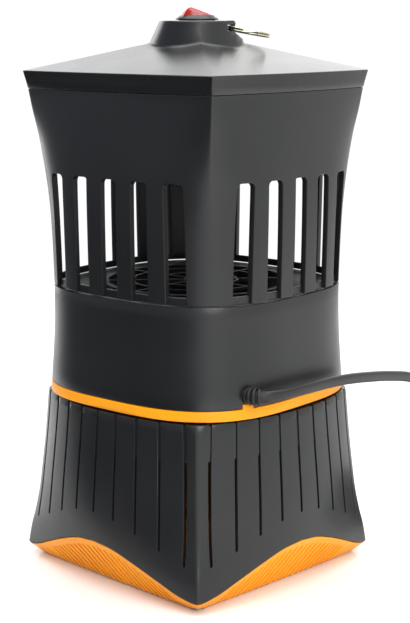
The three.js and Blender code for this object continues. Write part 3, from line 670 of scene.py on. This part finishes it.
def catmull_rom(points, steps):
    """A smooth path through points, `steps` to each stretch."""
    path = []
    vectors = [Vector(p) for p in points]
    ends = [2 * vectors[0] - vectors[1], *vectors, 2 * vectors[-1] - vectors[-2]]
    for a, b, c, d in zip(ends, ends[1:], ends[2:], ends[3:]):
        for k in range(steps):
            t = k / steps
            q = 2 * b + (c - a) * t + (2 * a - 5 * b + 4 * c - d) * t * t
            path.append((q + (3 * b - a - 3 * c + d) * t**3) / 2)
    return [*path, vectors[-1]]


def cord_path():
    cx, cy = COIL_CENTRE
    points = list(CORD_ROUTE[:-1])
    for turn in range(COIL_FROM, COIL_TO + 1, COIL_TURN):
        radius, z = coil_place(turn)
        a = math.radians(180 - turn)
        points.append((cx + radius * math.cos(a), cy + radius * math.sin(a), z))
    x, y = PLUG_AT
    points += [(117.9, 153.6, 5.0), (116.6, 148.5, 6.0), (116.1, 143.3, 6.8), (x, y - 0.6, PLUG_Z)]
    return catmull_rom(points, 4)


def stadium(half_width, half_thickness, steps=7):
    """A flat cord's section: thickness across, width up."""
    points = []
    for sign, start in ((1, 0), (-1, 180)):
        for k in range(steps + 1):
            a = math.radians(start + 180 * k / steps)
            rise = sign * (half_width - half_thickness)
            points.append((half_thickness * math.cos(a), rise + half_thickness * math.sin(a)))
    return points


def make_cord():
    path = cord_path()
    cord = make("mains_lead", [tube(path, stadium(3.0, 1.8))], 60)
    return cord, path


def boot_place(s):
    """The boot's centreline: straight out of the housing, then bending along its face."""
    start, straight, bend = 67.9, 2.2, 7.0
    limit = 6.0  # how much of its length bends
    along = min(s, straight)
    a = min(max(s - straight, 0), limit) / bend
    beyond = max(s - straight - limit, 0)
    x = start + along + bend * math.sin(a) + beyond * math.cos(a)
    return Vector((x, BOOT_Y + bend * (1 - math.cos(a)) + beyond * math.sin(a), BOOT_Z))


def make_boot():
    """A ribbed boot: a shank in the housing, four ribs and a tapered tail."""
    ribs = [(1.1, 4.4), (3.0, 4.8), (4.9, 4.9), (6.8, 4.6)]
    path, scales = [], []
    count = 130
    for i in range(count + 1):
        s = -6 + 16.6 * i / count
        radius = 3.7 if s < 0 else 3.5 - 0.05 * s
        if s > 8.2:
            radius = 3.1 - 0.2 * (s - 8.2)
        for at, size in ribs:
            shape = max(0.0, 1 - ((s - at) / 0.72) ** 4)
            radius = max(radius, 3.3 + (size - 3.3) * shape**0.5)
        path.append(boot_place(s))
        scales.append(radius)
    section = [(math.cos(TAU * k / 40), math.sin(TAU * k / 40)) for k in range(40)]
    return make("cord_boot", [tube(path, section, scales=scales)], 50)


def make_plug():
    """A flat two-pin plug lying on the floor, its grip ribbed and its tail tapered."""
    x0, y0 = PLUG_AT
    stations = [
        (0.0, 3.4, 3.0),
        (0.6, 4.0, 3.6),
        (4.0, 4.5, 4.0),
        (8.0, 6.2, 4.8),
        (11.5, 10.2, 6.0),
        (14.5, 11.7, 6.7),
        (20.0, 11.6, 6.5),
        (27.0, 11.4, 6.5),
        (32.5, 11.9, 6.9),
        (35.0, 12.0, 7.0),
        (35.7, 11.6, 6.6),
        (36.0, 11.0, 6.0),
    ]
    table = {x: (w, h) for x, w, h in stations}
    rings = []
    count = 144
    for i in range(count + 1):
        x = PLUG_LENGTH * i / count
        w, h = cubic(table, x)
        grip = 0.35 * max(0.0, math.sin((x - 15) / 2.4 * math.pi)) if 15 < x < 29.4 else 0
        w, h = w - grip, h - grip
        section = rounded_rectangle(w, h, min(w, h) * 0.62, 6)
        rings.append([(x0 + u, y0 - x, PLUG_Z + v) for u, v in section])
    return make("plug", [loft(rings)], 45)


def make_pins():
    pins = []
    x0, y0 = PLUG_AT
    profile = [(0.3, 0), (2.0, 0), (2.0, 9.6), (1.9, 9.8), (2.0, 10.0), (2.0, 17.4)]
    profile += [(1.7, 18.5), (1.0, 18.95), (0.3, 19)]
    for i, side in enumerate((-1, 1)):
        base = (x0 + side * 8.55, y0 - (PLUG_LENGTH + 0.3), PLUG_Z)
        place = Matrix.Translation(base) @ Matrix.Rotation(TAU / 4, 4, "X")
        pins.append(make(f"pin_{i + 1}", [moved(turned(profile, 32), place)], 50))
    return pins


def make_tie():
    """A flat tie round the bundle, its ends twisted together above."""
    angle = math.radians(55)
    inner, outer, bottom, top = 26.1, 42.3, 0.3, 15.2
    mid_r, mid_z = (inner + outer) / 2, (bottom + top) / 2
    rim = rounded_rectangle((outer - inner) / 2, (top - bottom) / 2, 2.2, 6)
    section = rounded_rectangle(0.22, 2.4, 0.2, 2)
    rings = []
    for u, v in rim:
        length = math.hypot(u, v)
        nu, nv = u / length, v / length
        rings.append([(mid_r + u + nu * a, b, mid_z + v + nv * a) for a, b in section])
    band = loft(rings, closed=True)
    twist = []
    for k in range(40):
        a = k * 0.55
        x, z = mid_r + 2 + 0.7 * math.cos(a), 14.7 + 0.35 * math.sin(a)
        twist.append(Vector((x, 2 + k * 0.28, z)))
    wire = [(0.4 * math.cos(TAU * j / 8), 0.4 * math.sin(TAU * j / 8)) for j in range(8)]
    ends = tube(twist, wire)
    place = Matrix.Translation((*COIL_CENTRE, 0)) @ Matrix.Rotation(angle, 4, "Z")
    return make("coil_tie", [moved(band, place), moved(ends, place)], 40)


def make_cord_pieces():
    boot = finish_piece(make_boot(), "rubber", "tower", "rubber", "strain_relief")
    plug = finish_piece(make_plug(), "sheath", "tower", "cord_rubber", "plug_body")
    for i, pin in enumerate(make_pins()):
        finish_piece(pin, "steel", "tower", "steel", f"plug_pin_{i + 1}")
    tie = finish_piece(make_tie(), "dark", "tower", "dark_plastic", "cord_tie")
    cord, path = make_cord()
    finish_piece(cord, "sheath", "tower", "cord_rubber", "mains_cord", "cord_coil")


# ---------------------------------------------------------------- top cover, switch and ring


def pocket_part():
    """The ring's pocket, before its bridge, post and web are taken out of it."""
    profile = [(15.2, 296.4), (18.4, 296.4), (27, 290.6), (27, 304), (15.2, 304)]
    return loft([[(x, y, z) for x, z in profile] for y in (-25, 25)])


def part_of(obj):
    """Takes an object apart again into a (vertices, faces) part."""
    vertices = [tuple(v.co / MM) for v in obj.data.vertices]
    faces = [list(p.vertices) for p in obj.data.polygons]
    bpy.data.objects.remove(obj)
    return vertices, faces


def ring_web():
    """A thin plate across the pocket, with a hole for the ring."""
    web = make("web", [box(14.2, 19.6, -0.8, 0.8, 296, 300.3)])
    hole = moved(turned([(1.75, -3), (1.75, 3)], 32), Matrix.Rotation(TAU / 4, 4, "X"))
    return part_of(boolean(web, moved(hole, Matrix.Translation((RING_REACH, 0, RING_Z)))))


def make_cover():
    rows = [(266.15, 0.35), (266.2, 0.12), (266.4, 0), (270, 0), (273, 0), (274.7, 0)]
    rings = [ring(TOWER, z, inset) for z, inset in rows]
    rows = [(275.25, 0.02), (275.5, 0.16), (275.68, 0.45)]
    rings += [ring(TOWER, z, inset, EAVE_Z) for z, inset in rows]
    eave = ring(TOWER, 275.8, 0.95, EAVE_Z)
    base = roof_ring(27.2)
    rings += [between(eave, base, t) for t in (0, 0.06, 0.2, 0.4, 0.6, 0.8, 0.93, 1)]
    low = roof_ring(24.9, 2.0)
    rings += [roof_ring(26.4, 0.12), roof_ring(25.7, 0.5), roof_ring(25.2, 1.2), low]
    high = circle(20.75, 300.9)
    rings += [between(low, high, t) for t in (0.25, 0.5, 0.75, 1)]
    turret = [(20.6, 301.4), (20.25, 301.8), (19.7, 302.0), (14, 302.02), (1, 302.02)]
    rings += [circle(radius, z) for radius, z in turret]
    cover = make("roof_cover", [loft(rings)], 30)
    cavity = [ring(TOWER, 264, 2.4), ring(TOWER, 272, 2.4), ring(TOWER, 273.2, 2.6, EAVE_Z)]
    cavity += [roof_ring(23, -2.8), circle(18.2, 299.6), circle(1, 299.6)]
    hollow = make("hollow", [loft(cavity)])
    boolean(hollow, about_z(box(12.6, 28, -24, 24, 285, 303), DIAGONAL))
    boolean(cover, part_of(hollow))
    pocket = make("pocket", [pocket_part()])
    boolean(pocket, box(14.2, 28, -3, 3, 300, 305))
    post = turned([(0.2, 289), (1.15, 289), (1.15, 303), (0.2, 303)], 24)
    boolean(pocket, moved(post, Matrix.Translation((19.7, 0, 0))))
    boolean(pocket, ring_web())
    boolean(cover, about_z(part_of(pocket), DIAGONAL), sharp=30)
    boolean(cover, turned([(10.2, 283), (10.2, 305)]), sharp=30)
    return finish_piece(cover, "cover", "tower", "black_plastic", "top_cover")


def make_switch():
    profile = [(9.7, 284), (9.9, 284.2), (9.9, 302.3), (11.4, 302.3), (11.62, 302.45)]
    profile += [(11.65, 302.9), (11.45, 303.2), (9.0, 304.75), (8.75, 304.95)]
    profile += [(8.4, 305.0), (1, 305.0)]
    bezel = make("switch_bezel", [turned(profile, 128)], 30)
    boolean(bezel, about_z(box(-8.6, 8.6, -6.15, 6.15, 293.5, 310), DIAGONAL), sharp=30)
    finish_piece(bezel, "black", "tower", "black_plastic", "switch_body")
    face = [(20, 8.3), (77, 5.5), (118, 8.1), *[(at, 8.3) for at in (128, 138, 150, 162, 176)]]
    outline = []
    for degrees_at, radius in face:
        a = math.radians(degrees_at)
        outline.append((radius * math.cos(a), radius * math.sin(a)))
    outline += [(-6.6, -1.4), (-3, -6), (3, -6), (6.6, -1.4), (8.2, 1.1)]
    sides = [[(x, y, SWITCH_Z + z) for x, z in outline] for y in (-5.85, 5.85)]
    rocker = make("rocker_cap", [about_z(loft(sides), DIAGONAL)], 30)
    bevel = rocker.modifiers.new("edges", "BEVEL")
    bevel.width = 0.45 * MM
    bevel.segments = 3
    bevel.limit_method = "ANGLE"
    apply_modifiers(rocker)
    smooth(rocker, 40)
    finish_piece(rocker, "red", "rocker", "red_plastic", "switch_rocker")


def make_ring():
    """A split ring: two stacked coils of one wire with an oblique step between them."""
    major, wire, droop = 11.35, 0.7, math.radians(10.2)
    path = []
    for k in range(171):
        turn = 20 + 4 * k
        a = math.radians(turn - 92)
        rise = -wire + 2 * wire * ease((turn - 340) / 40)
        path.append(Vector((major + major * math.cos(a), major * math.sin(a), rise)))
    section = [(wire * math.cos(TAU * j / 14), wire * math.sin(TAU * j / 14)) for j in range(14)]
    place = (
        Matrix.Rotation(DIAGONAL, 4, "Z")
        @ Matrix.Translation((RING_REACH, 0, RING_Z))
        @ Matrix.Rotation(droop, 4, "Y")
    )
    hoop = make("split_ring", [moved(tube(path, section), place)], 60)
    return finish_piece(hoop, "nickel", "ring", "nickel", "hanging_ring")


# ---------------------------------------------------------------- cage, housing and band

SLOT_CENTRES = [-41.2, -20.6, 0, 20.6, 41.2]


def cage_bottom():
    """The cage's lower edge, left to right, going up round each slot."""
    points = [(-60, CAGE_BOTTOM)]
    half, r = 5.2, 2.6
    for centre in SLOT_CENTRES:
        left, right = centre - half, centre + half
        points += [(left, CAGE_BOTTOM), (left, SLOT_TOP - r)]
        arc = [math.radians(90 * k / 5) for k in range(1, 6)]
        points += [(left + r - r * math.cos(a), SLOT_TOP - r + r * math.sin(a)) for a in arc]
        points += [(right - r + r * math.sin(a), SLOT_TOP - r + r * math.cos(a)) for a in [0, *arc]]
        points += [(right, CAGE_BOTTOM)]
    return [*points, (60, CAGE_BOTTOM)]


def make_cage():
    bottom = flat_chain(TOWER, cage_bottom(), 3)
    top = flat_chain(TOWER, [(70, CAGE_TOP), (-70, CAGE_TOP)], 3)
    face = notched_wall(TOWER, 3.4, 0.5, bottom, top, 4.2)
    sill = loft(
        [
            ring(TOWER, CAGE_BOTTOM, 2.0),
            ring(TOWER, SILL_Z - 0.3, 2.0),
            ring(TOWER, SILL_Z, 2.3),
            ring(TOWER, SILL_Z, 3.3),
            ring(TOWER, CAGE_BOTTOM, 3.3),
        ],
        closed=True,
    )
    rows = [(265.0, 2.8), (269.0, 2.8), (269.0, 3.5), (265.0, 3.5)]
    tongue = [ring(TOWER, z, inset) for z, inset in rows]
    cage = make("lamp_cage", [*on_four_faces(face), sill, loft(tongue, closed=True)], 32)
    true_normals(cage, TOWER)
    return finish_piece(cage, "black", "tower", "black_plastic", "cage")


def shell_rows(bottom, top, wall):
    """(z, inset) rows up the outside and down the inside of a plain shell with eased edges."""
    bevel, steps = 0.45, 8
    rows = [(bottom, bevel), (bottom + bevel * 0.3, bevel * 0.3), (bottom + bevel, 0)]
    straight = top - bottom - 2 * bevel
    rows += [(bottom + bevel + straight * k / steps, 0) for k in range(1, steps + 1)]
    rows += [(top - bevel * 0.3, bevel * 0.3), (top, bevel), (top, wall)]
    rows += [(top + (bottom - top) * k / steps, wall) for k in range(1, steps + 1)]
    return rows


def make_housing():
    rows = shell_rows(BAND_TOP + 0.3, HOUSING_TOP, 2.6)
    rings = [ring(TOWER, z, inset) for z, inset in rows]
    housing = make("fan_shroud", [loft(rings, closed=True)], 32)
    boolean(housing, box(40, 90, BOOT_Y - 3.3, BOOT_Y + 3.3, 90, 107.5))
    return finish_piece(housing, "black", "tower", "black_plastic", "fan_housing")


def make_band():
    rows = [(99.1, 0.5), (99.2, 0.15), (99.5, 0), (101, 0), (102.8, 0), (104.2, 0), (104.5, 0.15)]
    rows += [(BAND_TOP, 0.5), (BAND_TOP, 2.6), (101.4, 2.6)]
    rings = [ring(TOWER, z, inset) for z, inset in rows] + [circle(67.2, 101.4), circle(67.2, 99.1)]
    tab = []
    for z, shrink in ((104.0, 0), (106.6, 0), (107.0, 0.15), (107.15, 0.5)):
        section = cubic(TOWER, z)
        loop = []
        for inset, sign in ((shrink, 1), (2.3, -1)):
            for k in range(7):
                y = BOOT_Y + sign * (3.0 - shrink) * (k - 3) / 3
                a = angle_of(TOWER, y, z, inset)
                x, out = local_point(section, inset, a)
                loop.append((out, x, z))
        tab.append(loop)
    band = make("trim_band_ring", [loft(rings, closed=True), loft(tab)], 34)
    return finish_piece(band, "orange", "tower", "orange_plastic", "trim_band")


# ---------------------------------------------------------------- catch container

ARCH = {0: (26.8,), 14: (25.2,), 29: (20.4,), 44: (14.4,), 57: (9.0,), 68: (6.3,), 80: (6.3,)}


def arch_height(x):
    return cubic(ARCH, abs(x))[0]


def container_top():
    """The container's upper edge, right to left, going down round each of nine slits."""
    points = [(66, CONTAINER_TOP)]
    half = 0.72  # a slit's half-width
    for k in range(4, -5, -1):
        top, bottom = k * 13.4, k * 14.8  # the slits fan out towards the floor
        low = arch_height(bottom) + 15.6
        points += [(top + half, CONTAINER_TOP), (bottom + half, low + 0.5), (bottom + 0.25, low)]
        points += [(bottom - 0.25, low), (bottom - half, low + 0.5), (top - half, CONTAINER_TOP)]
    return [*points, (-66, CONTAINER_TOP)]


def container_lip():
    """The inner flange at the mouth, cut away where the bayonet's lugs pass."""
    loops = []
    for z, inset in ((98.0, 0), (97.9, -0.1), (94.1, -0.1), (94.0, 0)):
        loop = []
        for k in range(360):
            a = math.radians(k)
            off = (k - 49.6 + 45) % 90 - 45
            wide = abs(math.radians(off) * 69) < 4.3
            r = (71.0 if wide else 67.3) - inset
            loop.append((r * math.cos(a), r * math.sin(a), z))
        loops.append(loop)
    outer = []
    for z in (94.0, 98.0):
        section = cubic(CONTAINER, z)
        loop = []
        for k in range(360):
            a = math.radians(k)
            local = (a + TAU / 8) % (TAU / 4) - TAU / 8
            r = radius_at(section, 2.1, local)
            loop.append((r * math.cos(a), r * math.sin(a), z))
        outer.append(loop)
    return loft([*loops, *outer], closed=True)


def make_container():
    bottom = flat_chain(CONTAINER, [(x, arch_height(x)) for x in range(-68, 69, 2)], 3)
    bottom = [(-CORNER_MM, TIP_Z), *bottom[1:-1], (CORNER_MM, TIP_Z)]
    top = flat_chain(CONTAINER, container_top(), 3)
    face = notched_wall(CONTAINER, 2.4, 0.3, bottom, top, 4.2)
    rows = ((78.0, 1.3), (79.5, 0.75), (97.2, 0.75), (97.2, 2.3), (78.0, 2.3))
    lining = loft([ring(CONTAINER, z, inset) for z, inset in rows], closed=True)
    parts = [about_z(p, SEAT_TWIST) for p in [*on_four_faces(face), container_lip(), lining]]
    shell = make("catch_container", parts, 32)
    true_normals(shell, CONTAINER, SEAT_TWIST)
    return finish_piece(shell, "black", "container", "black_plastic", "container_shell")


RIB_PITCH, RIB_REACH, RIB_BORDER, RIB_DEPTH = 4.6, 46.0, 3.8, 2.0
TRAY_ROWS = 36
TRAY_FOOT_INSET = 0.1
TRAY_FOOT_Z = 0.8
CONTAINER_GAP = 0.6  # the tray's inset from the container's skin at their shared edge


def rib_groove(along, below):
    """Depth of the grooves between the tray's ribs, `below` millimetres under its upper edge."""
    fade = min(ease((RIB_REACH - abs(along)) / 0.8), ease((below - RIB_BORDER) / 1.2))
    wave = 0.5 - 0.5 * math.cos(along / RIB_PITCH * TAU)
    return RIB_DEPTH * fade * ease((wave - 0.5) / 0.4)


def height_on(table, x, z, inset):
    """How far out a face's surface lies at this tangential x."""
    return local_point(cubic(table, z), inset, angle_of(table, x, z, inset))[1]


def tray_columns():
    """For one face: x, its spread towards the corner, low and high y, top z and angle."""
    foot = local_point(cubic(TRAY, 0.5), TRAY_FOOT_INSET, TAU / 8)[0]
    tip = local_point(cubic(CONTAINER, TIP_Z), CONTAINER_GAP, TAU / 8)[0]
    ends = [RIB_REACH + (foot - RIB_REACH) * k / 14 for k in range(1, 15)]
    ribbed = [RIB_REACH * k / 145 for k in range(-145, 146)]
    columns = []
    for j, x in enumerate([*[-x for x in reversed(ends)], *ribbed, *ends[:-1]]):
        spread = math.copysign((tip - foot) * ease((abs(x) - 48) / (foot - 48)), x)
        top = arch_height(x + spread) - 0.4
        angle = angle_of(CONTAINER, x + spread, top, CONTAINER_GAP) if j else -TAU / 8
        low = height_on(TRAY, x, 0.5, TRAY_FOOT_INSET)
        high = local_point(cubic(CONTAINER, top), CONTAINER_GAP, angle)[1]
        columns.append((x, spread, low, high, top, angle))
    return columns


def four_times(row):
    return [on_face(x, y, z, k) for k in range(4) for x, y, z in row]


def tray_wall(columns, t, shrink=1.0, sink=0.0):
    """A row of the ribbed wall: t runs from the floor up to the container's edge.

    The grooves all run along one diagonal of the base, so neighbouring faces are mirror images.
    """
    points = []
    for k in range(4):
        side = 1 if k % 2 else -1
        for x, spread, low, high, top, _ in columns:
            z = TRAY_FOOT_Z + (top - 0.3 - TRAY_FOOT_Z) * t
            y = low + (high - low) * t
            y -= rib_groove(x + side * (y - 71), top - z)
            points.append(on_face((x + spread * t) * shrink, y * shrink, z - sink, k))
    return points


def tray_rim(columns, inset, drop):
    """A row round the shoulder under the container's edge."""
    row = []
    for *_, top, angle in columns:
        row.append((*local_point(cubic(CONTAINER, top), inset, angle), top - drop))
    return four_times(row)


def bucket_row(columns, z, inset):
    section = cubic(BUCKET, z)
    return four_times([(*local_point(section, inset, column[-1]), z) for column in columns])


def make_tray():
    columns = tray_columns()
    rings = [tray_wall(columns, 0, 0.99, 0.3), tray_wall(columns, 0, 0.996, 0.22)]
    rings += [tray_wall(columns, i / TRAY_ROWS) for i in range(TRAY_ROWS + 1)]
    rings += [tray_rim(columns, inset, drop) for inset, drop in ((0.7, 0.08), (1.0, 0), (2.9, 0))]
    rows = [(28, 0.75), (34, 0.75), (40, 0.75), (45.6, 0.75)]  # the bucket's outside
    rows += [(46.0, 1.1), (46.0, 1.6), (45.6, 2.0)]  # its rim
    rows += [(34, 2.2), (22, 3.6), (11, 7.2), (5.4, 8), (4.9, 9.5)]  # its inside
    rings += [bucket_row(columns, z, inset) for z, inset in rows]
    tray = make("base_tray_ribbed", [about_z(loft(rings), SEAT_TWIST)], 40)
    reach = 61.6 * math.sqrt(2)  # the base screws' distance from the axis
    sink = turned([(3.4, -1), (3.4, 2.95)], 40)
    for k in range(4):
        a = math.radians(45 + 90 * k) + SEAT_TWIST
        place = Matrix.Translation((reach * math.cos(a), reach * math.sin(a), 0))
        boolean(tray, moved(sink, place), sharp=40)
    return finish_piece(tray, "orange", "container", "orange_plastic", "base_tray")


# ---------------------------------------------------------------- carried-over CAD nodes

SCREWS = [f"{kind}_screw_{i}" for kind in ("cover", "fan", "base") for i in range(1, 5)]
CAD_LOOKS = {
    "dark": [
        "lamp_plate",
        "driver_capacitor",
        # the inlet deck and guard sit inside the housing; their deeper black is partly painted
        # shade for that dark inside
        "inlet_deck",
        "inlet_guard",
        "fan_frame",
        "fan_rotor",
        "bayonet_collar",
    ],
    "rubber": ["seal_ring", *[f"rubber_foot_{i}" for i in range(1, 5)]],
    "board": ["lamp_board", "driver_board"],
    "window": ["lamp_cover"],
    "led": [f"uv_led_{i}" for i in range(1, 7)],
    "copper": ["switch_terminal_1", "switch_terminal_2", "fan_motor"],
    "steel": ["fan_shaft", *SCREWS],
}


def dress_cad_nodes():
    for look, names in CAD_LOOKS.items():
        for name in names:
            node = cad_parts[name]
            node.data.materials.clear()
            node.data.materials.append(MATERIALS[look])


# ---------------------------------------------------------------- studio


def make_floor():
    disc = turned([(0.5, -0.2), (900, -0.2), (900, -0.1), (0.5, -0.1)], 128)
    floor = make("floor", [disc])
    m = Nodes("white_floor")
    m.colours(m.noise(6, 2), (0.9, 0.9, 0.9), (0.93, 0.93, 0.93))
    m.set(Roughness=0.22, Specular_IOR_Level=0.35)
    floor.data.materials.append(m.material)


def make_flag():
    """A dark card on the floor to the left, out of sight but mirrored in the left-hand faces."""
    outline = [(-1600, -150), (110, -150), (900, -1600), (-1600, -1600)]
    flag = make("flag", [loft([[(x, y, z) for x, y in outline] for z in (0.2, 0.6)])])
    m = Nodes("flag_card")
    m.colours(m.noise(6, 2), (0.01, 0.01, 0.012), (0.014, 0.014, 0.016))
    m.set(Roughness=1.0, Specular_IOR_Level=0.0)
    flag.data.materials.append(m.material)
    for rays in ("camera", "diffuse", "shadow", "transmission"):
        setattr(flag, "visible_" + rays, False)


def area_light(name, place, target, size, power):
    data = bpy.data.lights.new(name, "AREA")
    data.shape = "RECTANGLE"
    data.size, data.size_y = size
    data.energy = power
    light = bpy.data.objects.new(name, data)
    light.location = place
    light.rotation_euler = (Vector(target) - Vector(place)).to_track_quat("-Z", "Y").to_euler()
    light.visible_camera = False
    bpy.context.scene.collection.objects.link(light)


def make_world():
    """White to the camera; for light and reflections, dim on the left and bright on the right."""
    world = bpy.data.worlds.new("studio")
    world.use_nodes = True
    bpy.context.scene.world = world
    tree = world.node_tree
    tree.nodes.clear()
    place = tree.nodes.new("ShaderNodeTexCoord")
    dot = tree.nodes.new("ShaderNodeVectorMath")
    dot.operation = "DOT_PRODUCT"
    dot.inputs[1].default_value = (0.7615, 0.648, 0.12)
    tree.links.new(place.outputs["Generated"], dot.inputs[0])
    shade = tree.nodes.new("ShaderNodeMapRange")
    shade.inputs["From Min"].default_value = -1
    shade.inputs["From Max"].default_value = 1
    tree.links.new(dot.outputs["Value"], shade.inputs["Value"])
    ramp = tree.nodes.new("ShaderNodeValToRGB")
    ramp.color_ramp.elements[0].position = 0.25
    ramp.color_ramp.elements[1].position = 0.65
    ramp.color_ramp.elements[0].color = (0.3, 0.31, 0.35, 1)
    ramp.color_ramp.elements[1].color = (0.95, 0.95, 0.92, 1)
    tree.links.new(shade.outputs["Result"], ramp.inputs["Fac"])
    lit = tree.nodes.new("ShaderNodeBackground")
    tree.links.new(ramp.outputs["Color"], lit.inputs["Color"])
    seen = tree.nodes.new("ShaderNodeBackground")
    seen.inputs["Color"].default_value = (1, 1, 1, 1)
    seen.inputs["Strength"].default_value = 1.05
    path = tree.nodes.new("ShaderNodeLightPath")
    mix = tree.nodes.new("ShaderNodeMixShader")
    tree.links.new(path.outputs["Is Camera Ray"], mix.inputs["Fac"])
    tree.links.new(lit.outputs["Background"], mix.inputs[1])
    tree.links.new(seen.outputs["Background"], mix.inputs[2])
    out = tree.nodes.new("ShaderNodeOutputWorld")
    tree.links.new(mix.outputs["Shader"], out.inputs["Surface"])


def make_studio():
    make_floor()
    make_flag()
    make_world()
    scene = bpy.context.scene
    scene.view_settings.view_transform = "Standard"
    scene.view_settings.look = "None"
    area_light("overhead", (0.0, 0.0, 1.6), (0, 0, 0), (1.8, 1.8), 30)
    area_light("back", (-0.9, 1.1, 0.9), (0, 0, 0.28), (1.6, 0.9), 7.5)
    area_light("left", (-1.4, 0.25, 0.42), (0, 0, 0.2), (0.6, 0.9), 5)
    area_light("front_right", (1.3, -0.9, 0.9), (0, 0, 0.15), (0.7, 1.0), 14)


# ---------------------------------------------------------------- the scene

make_camera()
MATERIALS = make_materials()
make_cord_pieces()
make_cover()
make_switch()
make_ring()
make_cage()
make_housing()
make_band()
make_container()
make_tray()
dress_cad_nodes()
make_studio()
